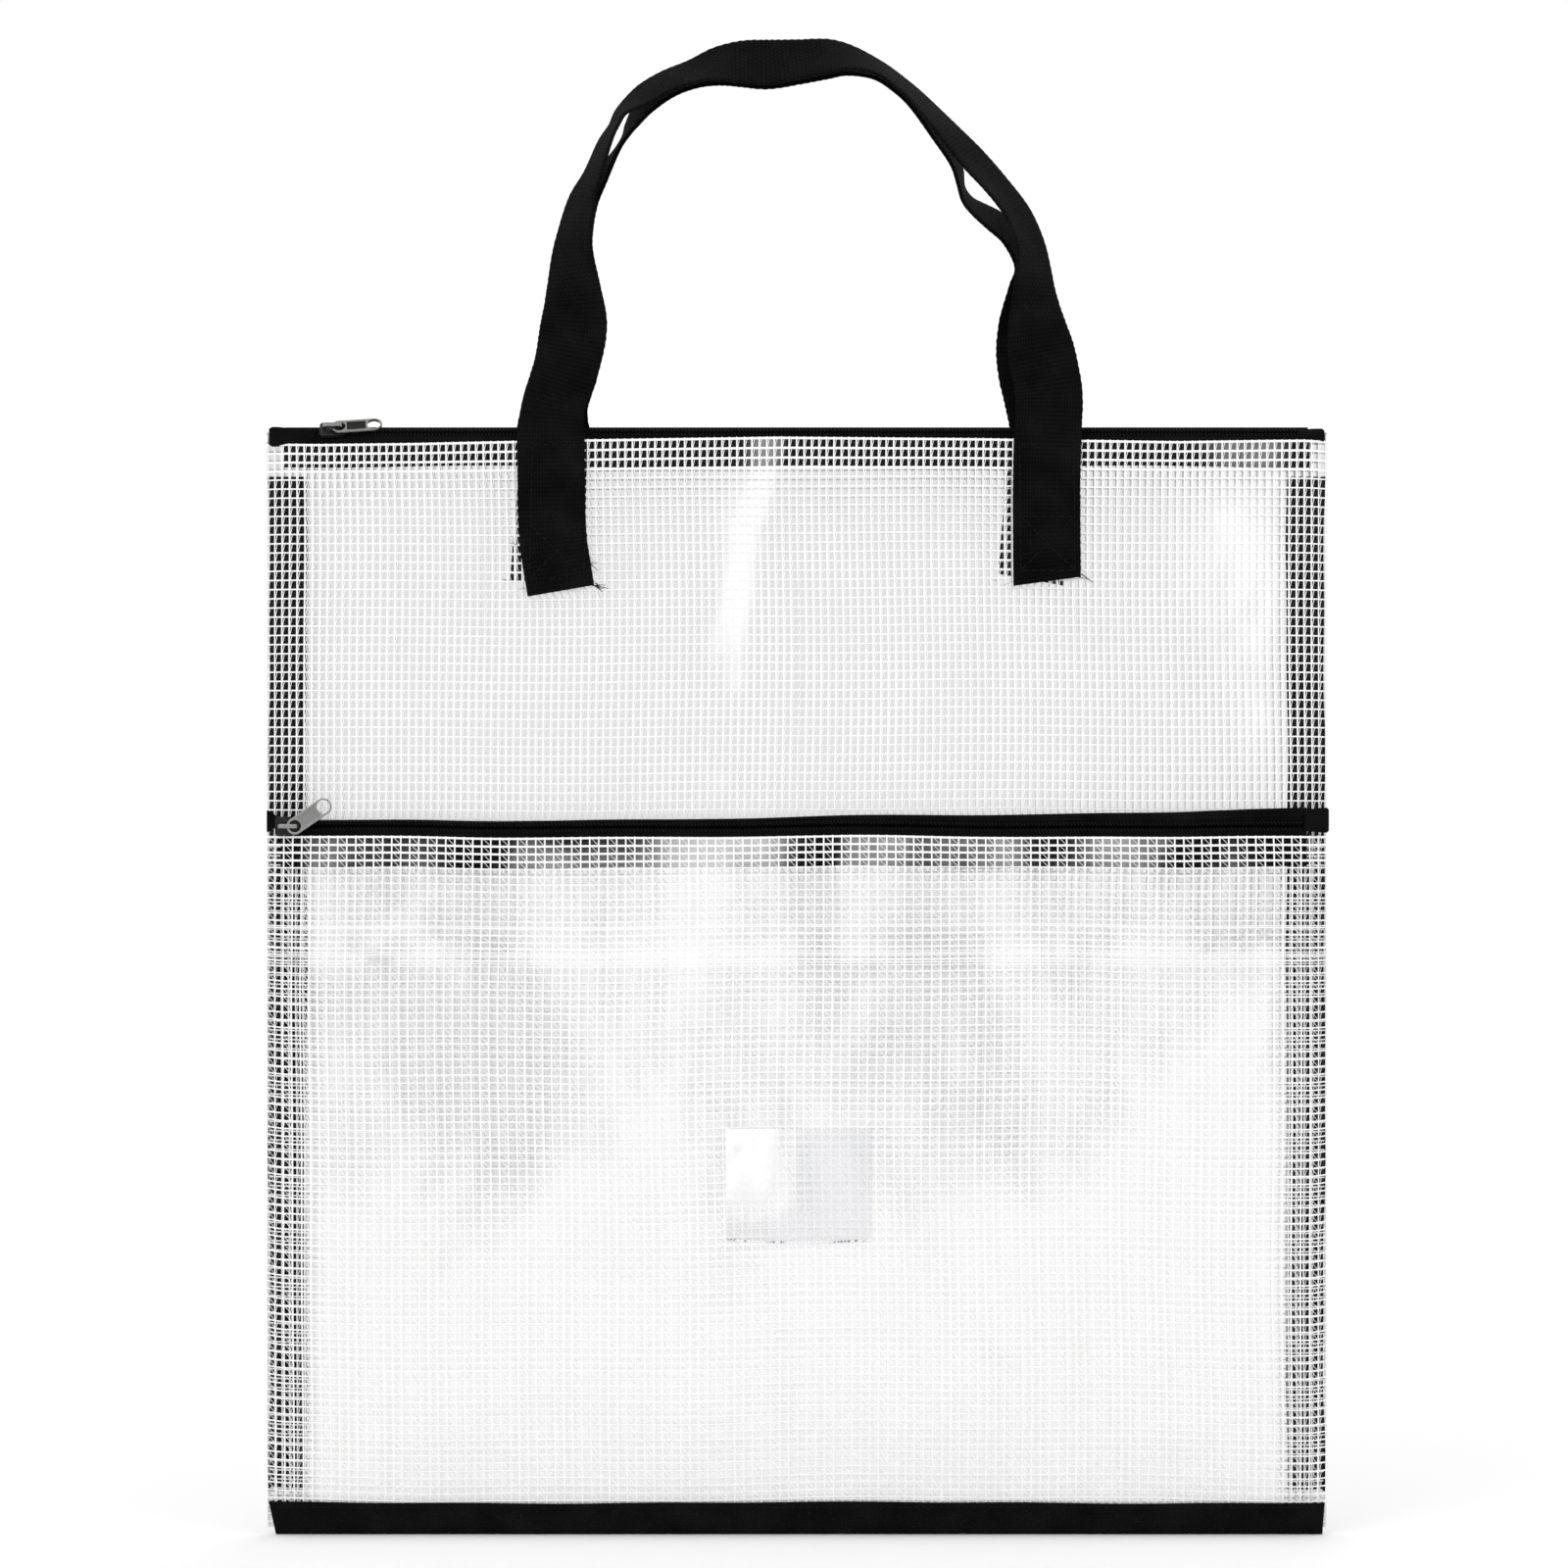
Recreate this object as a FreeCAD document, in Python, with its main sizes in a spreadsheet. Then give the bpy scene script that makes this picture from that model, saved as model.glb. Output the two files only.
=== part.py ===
import FreeCAD, Part
import math
import os
import Sketcher
from FreeCAD import Placement, Rotation, Vector

# A flat zippered beach tote of clear reinforced film, in millimetres.
# +X runs along the zippers, the front faces -Y and +Z is up. The origin is where a hook bears:
# in the middle of the handles, on the lower edge of their loops.

DIMENSIONS = [
    ("body_width", 393.0, "side seam to side seam"),
    ("body_height", 410.0, "bottom edge to top edge"),
    ("film_thickness", 0.5, "reinforced film"),
    ("side_roll", 9.0, "width over which the panels part beside a side seam"),
    ("bottom_rise", 48.0, "height over which the panels part above the bottom seam"),
    ("bottom_inset", 2.5, "lower edge of the panels above the bottom edge"),
    ("front_hem_drop", 5.0, "front panel's upper edge below the top edge"),
    ("back_hem_drop", 1.5, "back panel's upper edge below the top edge"),
    ("pocket_zip_height", 262.5, "pocket zipper above the bottom edge"),
    ("pocket_depth", 6.0, "slack of the pocket panel at half its height"),
    ("pocket_hem_gap", 0.7, "pocket panel's upper edge below its slider"),
    ("label_width", 54.0, "label window"),
    ("label_height", 41.0, "label window"),
    ("label_offset", 0.8, "label window's middle from the bag's middle"),
    ("label_bottom", 110.0, "label window above the bottom edge"),
    ("label_slack", 0.9, "room behind the label window's mouth"),
    ("label_thickness", 0.4, "clear window film"),
    ("binding_width", 12.0, "folded tape, as seen"),
    ("seam_binding_thickness", 1.8, "folded tape and seam allowance"),
    ("seam_inset", 2.5, "seam binding in from the side seam"),
    ("seam_binding_foot", 4.0, "seam binding above the bottom binding"),
    ("seam_binding_head", 5.0, "seam binding below the top zipper's tape"),
    ("bottom_binding_wall", 0.7, "ribbed tape round the bottom edge"),
    ("bottom_binding_inset", 1.0, "bottom binding in from the side seams"),
    ("sewing_gap", 0.05, "room between layers of one seam"),
    ("chain_width", 4.2, "closed zipper chain"),
    ("chain_gap", 0.8, "between the two coils, where the divider runs"),
    ("chain_thickness", 1.5, "coil"),
    ("tape_thickness", 0.5, "zipper tape"),
    ("tape_width", 13.0, "zipper tape beside its coil"),
    ("tape_flat", 0.5, "tape that stays in the plane of the coils beside the slider"),
    ("front_tape_bend", 2.5, "front tape's bend below the front panel's upper edge"),
    ("front_tape_drop", 1.5, "front tape's lower edge below the back tape's"),
    ("back_tape_bend", 0.5, "back tape's bend below the top edge"),
    ("pocket_tape_gap", 0.15, "pocket panel in front of its tape"),
    ("tape_set_back", 3.0, "pocket's upper tape beyond its slider, where it reaches the panel"),
    ("zip_end_length", 8.0, "folded and sewn end of a zipper"),
    ("short_end_length", 2.3, "pocket zipper's closed end"),
    ("top_end_inset", 3.0, "top zipper's ends in from the side seams"),
    ("pocket_end_inset", 1.5, "pocket zipper's ends in from the side seams"),
    ("tape_end_inset", 6.0, "zipper tapes in from the ends of their coils"),
    ("zip_end_width", 6.4, "zipper end across the chain"),
    ("zip_end_thickness", 3.0, "zipper end"),
    ("slider_length", 9.6, "slider"),
    ("slider_tail", 5.0, "slider at its narrow end"),
    ("slider_chamfer", 0.8, "corners at the slider's wide end"),
    ("slider_plate", 1.0, "each plate of the slider"),
    ("slider_clearance", 0.3, "slider to chain and tape"),
    ("slider_lip", 1.1, "edge of a plate that holds the coil in"),
    ("slider_standoff", 0.45, "pocket slider in front of the front panel"),
    ("divider_thickness", 0.4, "divider between the coils"),
    ("bail_length", 7.2, "bail along the zipper"),
    ("bail_leg", 1.2, "leg of the bail"),
    ("bail_width", 1.6, "bail across the zipper"),
    ("bail_bar", 0.9, "bar of the bail"),
    ("bail_chamfer", 0.7, "corners of the bail"),
    ("bail_window", 1.7, "room under the bail's bar"),
    ("tab_width", 6.2, "pull tab"),
    ("tab_thickness", 1.0, "pull tab"),
    ("tab_pitch", 12.7, "between the pull tab's two holes"),
    ("near_hole", 4.4, "hole that the bail passes through"),
    ("far_hole", 5.0, "hole at the free end"),
    ("tab_recess_width", 4.4, "sunk field between the holes"),
    ("tab_recess_margin", 0.5, "sunk field's ends from the holes"),
    ("tab_recess_depth", 0.25, "sunk field between the holes"),
    ("top_chain_roll", 45.0, "degrees that the top chain leans to the front"),
    ("top_chain_drop", 1.8, "top chain's middle below the top edge"),
    ("top_chain_shift", 0.2044, "top chain's middle in front of the bag's middle"),
    ("mouth_room", 1.28, "back panel behind the top slider, for the tape between them"),
    ("top_tape_peak", 4.8, "back tape's fold from the chain's middle"),
    ("top_slider_inset", 24.5, "closed top slider from the left side seam"),
    ("top_tab_tilt", 5.6, "degrees that the top tab leans up"),
    ("pocket_slider_inset", 8.7, "closed pocket slider from the left side seam"),
    ("pocket_tab_tilt", 34.4, "degrees that the pocket tab leans up"),
    ("strap_width", 25.0, "handle webbing"),
    ("strap_thickness", 1.4, "handle webbing"),
    ("sewn_length", 63.0, "webbing sewn down on the panel, from the top edge"),
    ("handle_spacing", 182.4, "middle to middle of one handle's two legs"),
    ("handle_offset", 1.2, "front handle's middle from the bag's middle"),
    ("back_handle_shift", 5.4, "back handle to the left of the front one"),
    ("handle_rise", 137.0, "middle of the webbing above the top edge"),
    ("handle_twist", 50.0, "degrees that the loop's webbing tips on edge"),
    ("hinge_gap", 0.5, "fold line in front of the sewn webbing"),
    ("fold_gap", 0.2, "loop above its fold line"),
    ("stitch_margin", 2.5, "box stitch in from the webbing's edges"),
    ("thread_width", 0.8, "row of stitches"),
    ("thread_height", 0.3, "row of stitches above the webbing"),
]

# Sizes that follow from the ones above.
DERIVED = [
    ("slider_half_height", "=chain_thickness / 2 + slider_clearance + slider_plate", "slider, above its middle"),
    ("slider_half_width", "=chain_width / 2 + slider_clearance + slider_lip", "slider, beside its middle"),
    ("lean_across", "=cos(top_chain_roll * 1 deg)", "share of the slider's width that lies in depth"),
    ("lean_out", "=sin(top_chain_roll * 1 deg)", "share of the slider's height that lies in depth"),
    ("slider_reach", "=slider_half_width * lean_across + slider_half_height * lean_out", "depth of its rear half"),
    ("body_depth", "=2 * (slider_reach - top_chain_shift + mouth_room)", "inside depth, as the slider needs"),
    ("pocket_zip_out", "=slider_half_height + slider_standoff", "pocket chain in front of the panel"),
    ("pocket_mouth", "=pocket_zip_out + tape_thickness / 2 + pocket_tape_gap", "pocket panel at its zipper"),
    ("pocket_hem_drop", "=slider_half_width + pocket_hem_gap", "pocket panel's edge below its zipper"),
]

doc = FreeCAD.newDocument("BeachBag")
sheet = doc.addObject("Spreadsheet::Sheet", "Sizes")
for row, (alias, value, meaning) in enumerate(DIMENSIONS + DERIVED, start=1):
    sheet.set(f"A{row}", alias)
    sheet.set(f"B{row}", str(value))
    sheet.set(f"C{row}", meaning)
    sheet.setAlias(f"B{row}", alias)
doc.recompute()

parts = []


def size(alias):
    return float(sheet.get(alias))


def keep(label, part, placement=None):
    """Names a sub-part and places it."""
    part.Label = label
    if placement is not None:
        part.Placement = placement
    parts.append(part)
    return part


# ---- places that several sub-parts share ----

HALF_WIDTH = size("body_width") / 2
FILM = size("film_thickness")
SEWING = size("sewing_gap")
STRAP = size("strap_thickness")
TAPE = size("tape_thickness")
crown_half_height = size("strap_width") / 2 * math.cos(math.radians(size("handle_twist")))
TOP = crown_half_height - size("handle_rise")
BOTTOM = TOP - size("body_height")
LOWER_SEAM = BOTTOM + size("bottom_inset")
PANEL_FACE = size("body_depth") / 2 + FILM
POCKET_ZIP = Vector(0, -PANEL_FACE - size("pocket_zip_out"), BOTTOM + size("pocket_zip_height"))
TOP_ZIP = Vector(0, -size("top_chain_shift"), TOP - size("top_chain_drop"))
TOP_END = HALF_WIDTH - size("top_end_inset")
POCKET_END = HALF_WIDTH - size("pocket_end_inset")
PIVOT_HEIGHT = size("slider_half_height") + size("bail_window") / 2


# ---- curved panels ----


def roll_off(x):
    """From 0 at a side seam to 1 where the panels are fully apart."""
    climb = min((HALF_WIDTH - abs(x)) / size("side_roll"), 1)
    return 1 - (1 - climb) ** 2


def half_depth(x, z):
    """Half of the inside depth. The panels meet along the side seams and the lower seam."""
    climb = min(max((z - LOWER_SEAM) / size("bottom_rise"), 0), 1)
    return size("body_depth") / 2 * roll_off(x) * (1 - (1 - climb) ** 2)


def front_inside(x, z):
    return -half_depth(x, z)


def back_outside(x, z):
    return half_depth(x, z) + FILM


POCKET_TOP = POCKET_ZIP.z - size("pocket_hem_drop")


def pocket_inside(x, z):
    """The pocket lies on the front panel along its seams, slack between, and meets its tape on top."""
    climb = (z - LOWER_SEAM) / (POCKET_TOP - LOWER_SEAM)
    slack = size("pocket_mouth") * climb + size("pocket_depth") * 4 * climb * (1 - climb)
    return front_inside(x, z) - FILM - SEWING - slack * roll_off(x)


LABEL_BOTTOM = BOTTOM + size("label_bottom")
LABEL_TOP = LABEL_BOTTOM + size("label_height")
LABEL_HALF = size("label_width") / 2


def label_inside(x, z):
    """The window is sealed at its sides and bottom and stands off at its mouth."""
    across = (x - size("label_offset")) / LABEL_HALF
    climb = (z - LABEL_BOTTOM) / size("label_height")
    slack = size("label_slack") * max(1 - across**2, 0) * climb
    return pocket_inside(x, z) - FILM - SEWING - slack


def clamped_knots(count):
    """Even knots for a quadratic spline with this many poles that meets its end poles."""
    spans = count - 2
    return list(range(spans + 1)), [3, *[1] * (spans - 1), 3]


def grid_face(columns, levels, depth_at):
    """A smooth face whose poles stand in these columns and at these levels."""
    poles = [[Vector(x, depth_at(x, z), z) for z in levels] for x in columns]
    across, across_mults = clamped_knots(len(columns))
    up, up_mults = clamped_knots(len(levels))
    surface = Part.BSplineSurface()
    surface.buildFromPolesMultsKnots(poles, across_mults, up_mults, across, up, False, False, 2, 2)
    return surface.toShape()


def curved_sheet(label, columns, levels, rear_at, thickness):
    """A sheet between a rear face and the same face moved forward by its thickness."""
    rear = grid_face(columns, levels, rear_at)
    front = grid_face(columns, levels, lambda x, z: rear_at(x, z) - thickness)
    rims = [Part.makeRuledSurface(a, b) for a, b in zip(rear.Edges, front.Edges)]
    solid = Part.Solid(Part.makeShell([rear, front, *rims]))
    if solid.Volume < 0:
        solid.reverse()
    part = doc.addObject("Part::Feature", label)
    part.Shape = solid
    return keep(label, part, Placement())


def spread(low, high, count):
    return [low + (high - low) * i / (count - 1) for i in range(count)]


def add_panels():
    flat = HALF_WIDTH - size("side_roll")
    left_roll = spread(-HALF_WIDTH, -flat, 6)
    columns = left_roll + spread(-flat, flat, 8)[1:-1] + [-x for x in reversed(left_roll)]
    rise_top = LOWER_SEAM + size("bottom_rise")
    rise = spread(LOWER_SEAM, rise_top, 6)
    front_levels = rise + spread(rise_top, TOP - size("front_hem_drop"), 6)[1:]
    back_levels = rise + spread(rise_top, TOP - size("back_hem_drop"), 6)[1:]
    pocket_levels = rise + spread(rise_top, POCKET_TOP, 7)[1:]
    curved_sheet("front_panel", columns, front_levels, front_inside, FILM)
    curved_sheet("back_panel", columns, back_levels, back_outside, FILM)
    curved_sheet("pocket_panel", columns, pocket_levels, pocket_inside, FILM)
    label_columns = spread(size("label_offset") - LABEL_HALF, size("label_offset") + LABEL_HALF, 7)
    label_levels = spread(LABEL_BOTTOM, LABEL_TOP, 5)
    curved_sheet("label_window", label_columns, label_levels, label_inside, size("label_thickness"))


# ---- sketched bodies ----


def base_plane(body, role):
    return next(f for f in body.Origin.OriginFeatures if f.Role == role)


def add_sketch(body, name, role):
    sketch = body.newObject("Sketcher::SketchObject", name)
    sketch.AttachmentSupport = (base_plane(body, role), [""])
    sketch.MapMode = "FlatFace"
    return sketch


def pin_point(sketch, edge, end, across, up):
    """Ties an end of an edge to two expressions, measured from the sketch's origin."""
    here = sketch.getPoint(edge, end)
    for kind, start, rule in (("DistanceX", here.x, across), ("DistanceY", here.y, up)):
        index = sketch.addConstraint(Sketcher.Constraint(kind, -1, 1, edge, end, start))
        sketch.setExpression(f"Constraints[{index}]", rule)


def polygon(sketch, corners):
    """A closed outline whose corners are pairs of expressions."""
    count = len(corners)
    turns = [2 * math.pi * (i + 0.3) / count for i in range(count)]
    start = [Vector(20 * math.cos(turn), 20 * math.sin(turn), 0) for turn in turns]
    for i in range(count):
        sketch.addGeometry(Part.LineSegment(start[i], start[(i + 1) % count]))
    for i in range(count):
        sketch.addConstraint(Sketcher.Constraint("Coincident", i, 2, (i + 1) % count, 1))
    for i, (across, up) in enumerate(corners):
        pin_point(sketch, i, 1, across, up)


def circle(sketch, across, up, diameter):
    edge = sketch.addGeometry(Part.Circle(Vector(1, 1, 0), Vector(0, 0, 1), 1))
    pin_point(sketch, edge, 3, across, up)
    index = sketch.addConstraint(Sketcher.Constraint("Diameter", edge, 2))
    sketch.setExpression(f"Constraints[{index}]", diameter)


def polygon_pad(label, role, corners, length, placement=None):
    """A body padded both ways from a closed outline."""
    body = doc.addObject("PartDesign::Body", label)
    sketch = add_sketch(body, f"{label}_outline", role)
    polygon(sketch, corners)
    pad = body.newObject("PartDesign::Pad", f"{label}_pad")
    pad.Profile = sketch
    pad.SideType = "Symmetric"
    pad.setExpression("Length", length)
    return keep(label, body, placement) if placement is not None else body


def box(label, length, width, height, corner, frame=None):
    """A box bound to three expressions, its low corner placed in a frame."""
    part = doc.addObject("Part::Box", label)
    part.setExpression("Length", length)
    part.setExpression("Width", width)
    part.setExpression("Height", height)
    part.Placement = (frame or Placement()).multiply(Placement(corner, Rotation()))
    return part


def kept_box(label, length, width, height, corner, frame=None):
    part = box(label, length, width, height, corner, frame)
    return keep(label, part)


# ---- bindings ----


def add_bindings():
    width = size("binding_width")
    thick = size("seam_binding_thickness")
    low = BOTTOM + width + size("seam_binding_foot")
    span = ("Sizes.body_height - Sizes.binding_width - Sizes.seam_binding_foot"
            " - Sizes.tape_width - Sizes.seam_binding_head")
    inner = HALF_WIDTH - size("seam_inset") - width
    for label, x in (("left_seam_binding", -inner - width), ("right_seam_binding", inner)):
        kept_box(label, "Sizes.binding_width", "Sizes.seam_binding_thickness", span, Vector(x, -thick / 2, low))
    # The bottom tape is folded round both panels and opens upward with them.
    back = "Sizes.film_thickness + Sizes.sewing_gap * 2"
    front = f"{back} + Sizes.film_thickness + Sizes.sewing_gap"
    held = "(Sizes.binding_width - Sizes.bottom_inset)"
    spread_out = f"Sizes.body_depth / 2 * (1 - (1 - {held} / Sizes.bottom_rise) ^ 2)"
    pocket_reach = "(Sizes.pocket_zip_height - Sizes.pocket_hem_drop - Sizes.bottom_inset)"
    slack = f"(Sizes.pocket_mouth + 4 * Sizes.pocket_depth) * {held} / {pocket_reach}"
    back_mouth = f"{back} + {spread_out}"
    front_mouth = f"{front} + {spread_out} + {slack}"
    wall = "Sizes.bottom_binding_wall"
    floor = "Sizes.bottom_inset - Sizes.sewing_gap"
    top = "Sizes.binding_width"
    corners = [
        (f"-({front}) - {wall}", "0"),
        (f"{back} + {wall}", "0"),
        (f"{back_mouth} + {wall}", top),
        (back_mouth, top),
        (back, floor),
        (f"-({front})", floor),
        (f"-({front_mouth})", top),
        (f"-({front_mouth}) - {wall}", top),
    ]
    place = Placement(Vector(0, 0, BOTTOM), Rotation())
    polygon_pad("bottom_binding", "YZ_Plane", corners, "Sizes.body_width - 2 * Sizes.bottom_binding_inset", place)


# ---- zippers ----


def zip_frame(middle, roll):
    """A zipper's own frame: X along it, Y across it and Z out of its face."""
    return Placement(middle, Rotation(Vector(1, 0, 0), roll))


TOP_FRAME = zip_frame(TOP_ZIP, size("top_chain_roll"))
POCKET_FRAME = zip_frame(POCKET_ZIP, 90)


def strip(label, path, thickness, left, right):
    """A folded strip: a path of points in the YZ plane, thickened and drawn out along X."""
    rear, front = [], []
    for i, point in enumerate(path):
        before = (point - path[i - 1]) if i else (path[1] - point)
        after = (path[i + 1] - point) if i + 1 < len(path) else before
        first = Vector(0, -before.z, before.y).normalize()
        second = Vector(0, -after.z, after.y).normalize()
        miter = first + second
        miter = miter * (thickness / 2 / (miter.dot(first)))
        rear.append(point + miter)
        front.append(point - miter)
    ring = [*rear, *reversed(front)]
    face = Part.Face(Part.makePolygon([*ring, ring[0]]))
    part = doc.addObject("Part::Feature", label)
    part.Shape = face.extrude(Vector(right - left, 0, 0))
    return keep(label, part, Placement(Vector(left, 0, 0), Rotation()))


def add_tapes(top_span, pocket_span):
    coil_edge = size("chain_width") / 2
    flat = size("slider_half_width") + size("tape_flat")
    inside = PANEL_FACE - FILM - SEWING - TAPE / 2
    in_top = TOP_FRAME.multVec
    front_path = [
        in_top(Vector(0, -coil_edge, 0)),
        in_top(Vector(0, -flat, 0)),
        Vector(0, -inside, TOP - size("front_hem_drop") - size("front_tape_bend")),
        Vector(0, -inside, TOP - size("tape_width") - size("front_tape_drop")),
    ]
    back_path = [
        in_top(Vector(0, coil_edge, 0)),
        in_top(Vector(0, size("top_tape_peak"), 0)),
        Vector(0, inside, TOP - size("back_tape_bend")),
        Vector(0, inside, TOP - size("tape_width")),
    ]
    inset = size("tape_end_inset")
    strip("top_zip_front_tape", front_path, TAPE, top_span[0] + inset, top_span[1] - inset)
    strip("top_zip_back_tape", back_path, TAPE, top_span[0] + inset, top_span[1] - inset)
    in_pocket = POCKET_FRAME.multVec
    on_panel = TAPE / 2 + SEWING - size("pocket_zip_out")
    upper_path = [
        in_pocket(Vector(0, coil_edge, 0)),
        in_pocket(Vector(0, flat, 0)),
        in_pocket(Vector(0, flat + size("tape_set_back"), on_panel)),
        in_pocket(Vector(0, size("tape_width"), on_panel)),
    ]
    lower_path = [
        in_pocket(Vector(0, -coil_edge, 0)),
        in_pocket(Vector(0, -coil_edge - size("tape_width"), 0)),
    ]
    tape_span = (pocket_span[0] + inset, pocket_span[1] - inset)
    strip("pocket_zip_upper_tape", upper_path, TAPE, *tape_span)
    strip("pocket_zip_lower_tape", lower_path, TAPE, *tape_span)


def add_coils(names, frame, span):
    """Two straight coils with the divider's gap between them."""
    left, right = span
    gap = size("chain_gap") / 2
    wide = size("chain_width") / 2 - gap
    for label, y in zip(names, (-gap - wide, gap)):
        coil = kept_box(label, "1", "(Sizes.chain_width - Sizes.chain_gap) / 2", "Sizes.chain_thickness",
                        Vector(left, y, -size("chain_thickness") / 2), frame)
        coil.setExpression("Length", coil_length(label))


def coil_length(label):
    """A coil runs from one sewn end of its zipper to the other."""
    prefix = label.split("_")[0]
    first = "Sizes.short_end_length" if prefix == "pocket" else "Sizes.zip_end_length"
    return f"Sizes.body_width - 2 * Sizes.{prefix}_end_inset - {first} - Sizes.zip_end_length"


def add_zip_ends(prefix, frame, reach, first_length):
    low = Vector(0, -size("zip_end_width") / 2, -size("zip_end_thickness") / 2)
    ends = (("left", -reach, first_length), ("right", reach - size("zip_end_length"), "zip_end_length"))
    for side, x, length in ends:
        kept_box(f"{prefix}_{side}_end", f"Sizes.{length}", "Sizes.zip_end_width", "Sizes.zip_end_thickness",
                 low + Vector(x, 0, 0), frame)


def add_slider(prefix, frame, x):
    """A slider body with a slot for each coil and tape, narrower towards its tail."""
    half = "Sizes.slider_half_width"
    lip = "(Sizes.slider_half_width - Sizes.slider_lip)"
    slot = "(Sizes.tape_thickness / 2 + Sizes.slider_clearance)"
    room = "(Sizes.chain_thickness / 2 + Sizes.slider_clearance)"
    outer = "Sizes.slider_half_height"
    web = "Sizes.divider_thickness / 2"
    corners = [
        (half, slot),
        (half, outer),
        (f"-{half}", outer),
        (f"-{half}", slot),
        (f"-{lip}", slot),
        (f"-{lip}", room),
        (f"-{web}", room),
        (f"-{web}", f"-{room}"),
        (f"-{lip}", f"-{room}"),
        (f"-{lip}", f"-{slot}"),
        (f"-{half}", f"-{slot}"),
        (f"-{half}", f"-{outer}"),
        (half, f"-{outer}"),
        (half, f"-{slot}"),
        (lip, f"-{slot}"),
        (lip, f"-{room}"),
        (web, f"-{room}"),
        (web, room),
        (lip, room),
        (lip, slot),
    ]
    section = polygon_pad(f"{prefix}_slider_section", "YZ_Plane", corners, "Sizes.slider_length")
    end = "Sizes.slider_length / 2"
    tail = "Sizes.slider_tail / 2"
    plan = [
        (f"-{end}", f"-{half} + Sizes.slider_chamfer"),
        (f"-{end} + Sizes.slider_chamfer", f"-{half}"),
        ("0", f"-{half}"),
        (end, f"-{tail}"),
        (end, tail),
        ("0", half),
        (f"-{end} + Sizes.slider_chamfer", half),
        (f"-{end}", f"{half} - Sizes.slider_chamfer"),
    ]
    outline = polygon_pad(f"{prefix}_slider_plan", "XY_Plane", plan, f"4 * {outer}")
    body = doc.addObject("Part::Common", f"{prefix}_slider_body")
    body.Base = section
    body.Tool = outline
    keep(f"{prefix}_slider_body", body, frame.multiply(Placement(Vector(x, 0, 0), Rotation())))


def add_bail(prefix, frame, x):
    outer = "Sizes.bail_length / 2"
    inner = f"({outer} - Sizes.bail_leg)"
    base = "Sizes.slider_half_height"
    under = f"{base} + Sizes.bail_window"
    top = f"{under} + Sizes.bail_bar"
    corners = [
        (f"-{outer}", base),
        (f"-{outer}", f"{top} - Sizes.bail_chamfer"),
        (f"-{outer} + Sizes.bail_chamfer", top),
        (f"{outer} - Sizes.bail_chamfer", top),
        (outer, f"{top} - Sizes.bail_chamfer"),
        (outer, base),
        (inner, base),
        (inner, under),
        (f"-{inner}", under),
        (f"-{inner}", base),
    ]
    place = frame.multiply(Placement(Vector(x, 0, 0), Rotation()))
    polygon_pad(f"{prefix}_slider_bail", "XZ_Plane", corners, "Sizes.bail_width", place)


def add_tab(prefix, frame, x, tilt):
    """A flat pull with round ends, a hole in each and a sunk field between them."""
    body = doc.addObject("PartDesign::Body", f"{prefix}_pull_tab")
    outline = add_sketch(body, f"{prefix}_tab_outline", "XY_Plane")
    radius = size("tab_width") / 2
    pitch = size("tab_pitch")
    near = Part.Circle(Vector(0, 0, 0), Vector(0, 0, 1), radius)
    far = Part.Circle(Vector(pitch, 0, 0), Vector(0, 0, 1), radius)
    outline.addGeometry(Part.ArcOfCircle(near, math.pi / 2, 3 * math.pi / 2))
    outline.addGeometry(Part.LineSegment(Vector(0, -radius, 0), Vector(pitch, -radius, 0)))
    outline.addGeometry(Part.ArcOfCircle(far, -math.pi / 2, math.pi / 2))
    outline.addGeometry(Part.LineSegment(Vector(pitch, radius, 0), Vector(0, radius, 0)))
    for first, second, end in ((0, 1, 1), (1, 2, 1), (2, 3, 1), (3, 0, 1)):
        outline.addConstraint(Sketcher.Constraint("Tangent", first, 2, second, end))
    outline.addConstraint(Sketcher.Constraint("Coincident", 0, 3, -1, 1))
    outline.addConstraint(Sketcher.Constraint("Horizontal", 1))
    across = outline.addConstraint(Sketcher.Constraint("Radius", 0, radius))
    outline.setExpression(f"Constraints[{across}]", "Sizes.tab_width / 2")
    along = outline.addConstraint(Sketcher.Constraint("DistanceX", -1, 1, 2, 3, pitch))
    outline.setExpression(f"Constraints[{along}]", "Sizes.tab_pitch")
    circle(outline, "0", "0", "Sizes.near_hole")
    circle(outline, "Sizes.tab_pitch", "0", "Sizes.far_hole")
    plate = body.newObject("PartDesign::Pad", f"{prefix}_tab_plate")
    plate.Profile = outline
    plate.SideType = "Symmetric"
    plate.setExpression("Length", "Sizes.tab_thickness")
    doc.recompute()
    whole = plate.Shape.Volume
    field = add_sketch(body, f"{prefix}_tab_field", "XY_Plane")
    field.setExpression(".AttachmentOffset.Base.z", "Sizes.tab_thickness / 2")
    start = "Sizes.near_hole / 2 + Sizes.tab_recess_margin"
    stop = "Sizes.tab_pitch - Sizes.far_hole / 2 - Sizes.tab_recess_margin"
    wide = "Sizes.tab_recess_width / 2"
    polygon(field, [(start, f"-{wide}"), (stop, f"-{wide}"), (stop, wide), (start, wide)])
    recess = body.newObject("PartDesign::Pocket", f"{prefix}_tab_recess")
    recess.Profile = field
    recess.setExpression("Length", "Sizes.tab_recess_depth")
    doc.recompute()
    if recess.Shape.Volume >= whole:
        raise RuntimeError(f"{prefix} tab: the sunk field cuts nothing")
    ring = Vector(x + (size("near_hole") + size("tab_width")) / 4, 0, PIVOT_HEIGHT)
    turn = Placement(ring, Rotation(Vector(0, 0, 1), tilt))
    keep(f"{prefix}_pull_tab", body, frame.multiply(turn))


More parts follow.
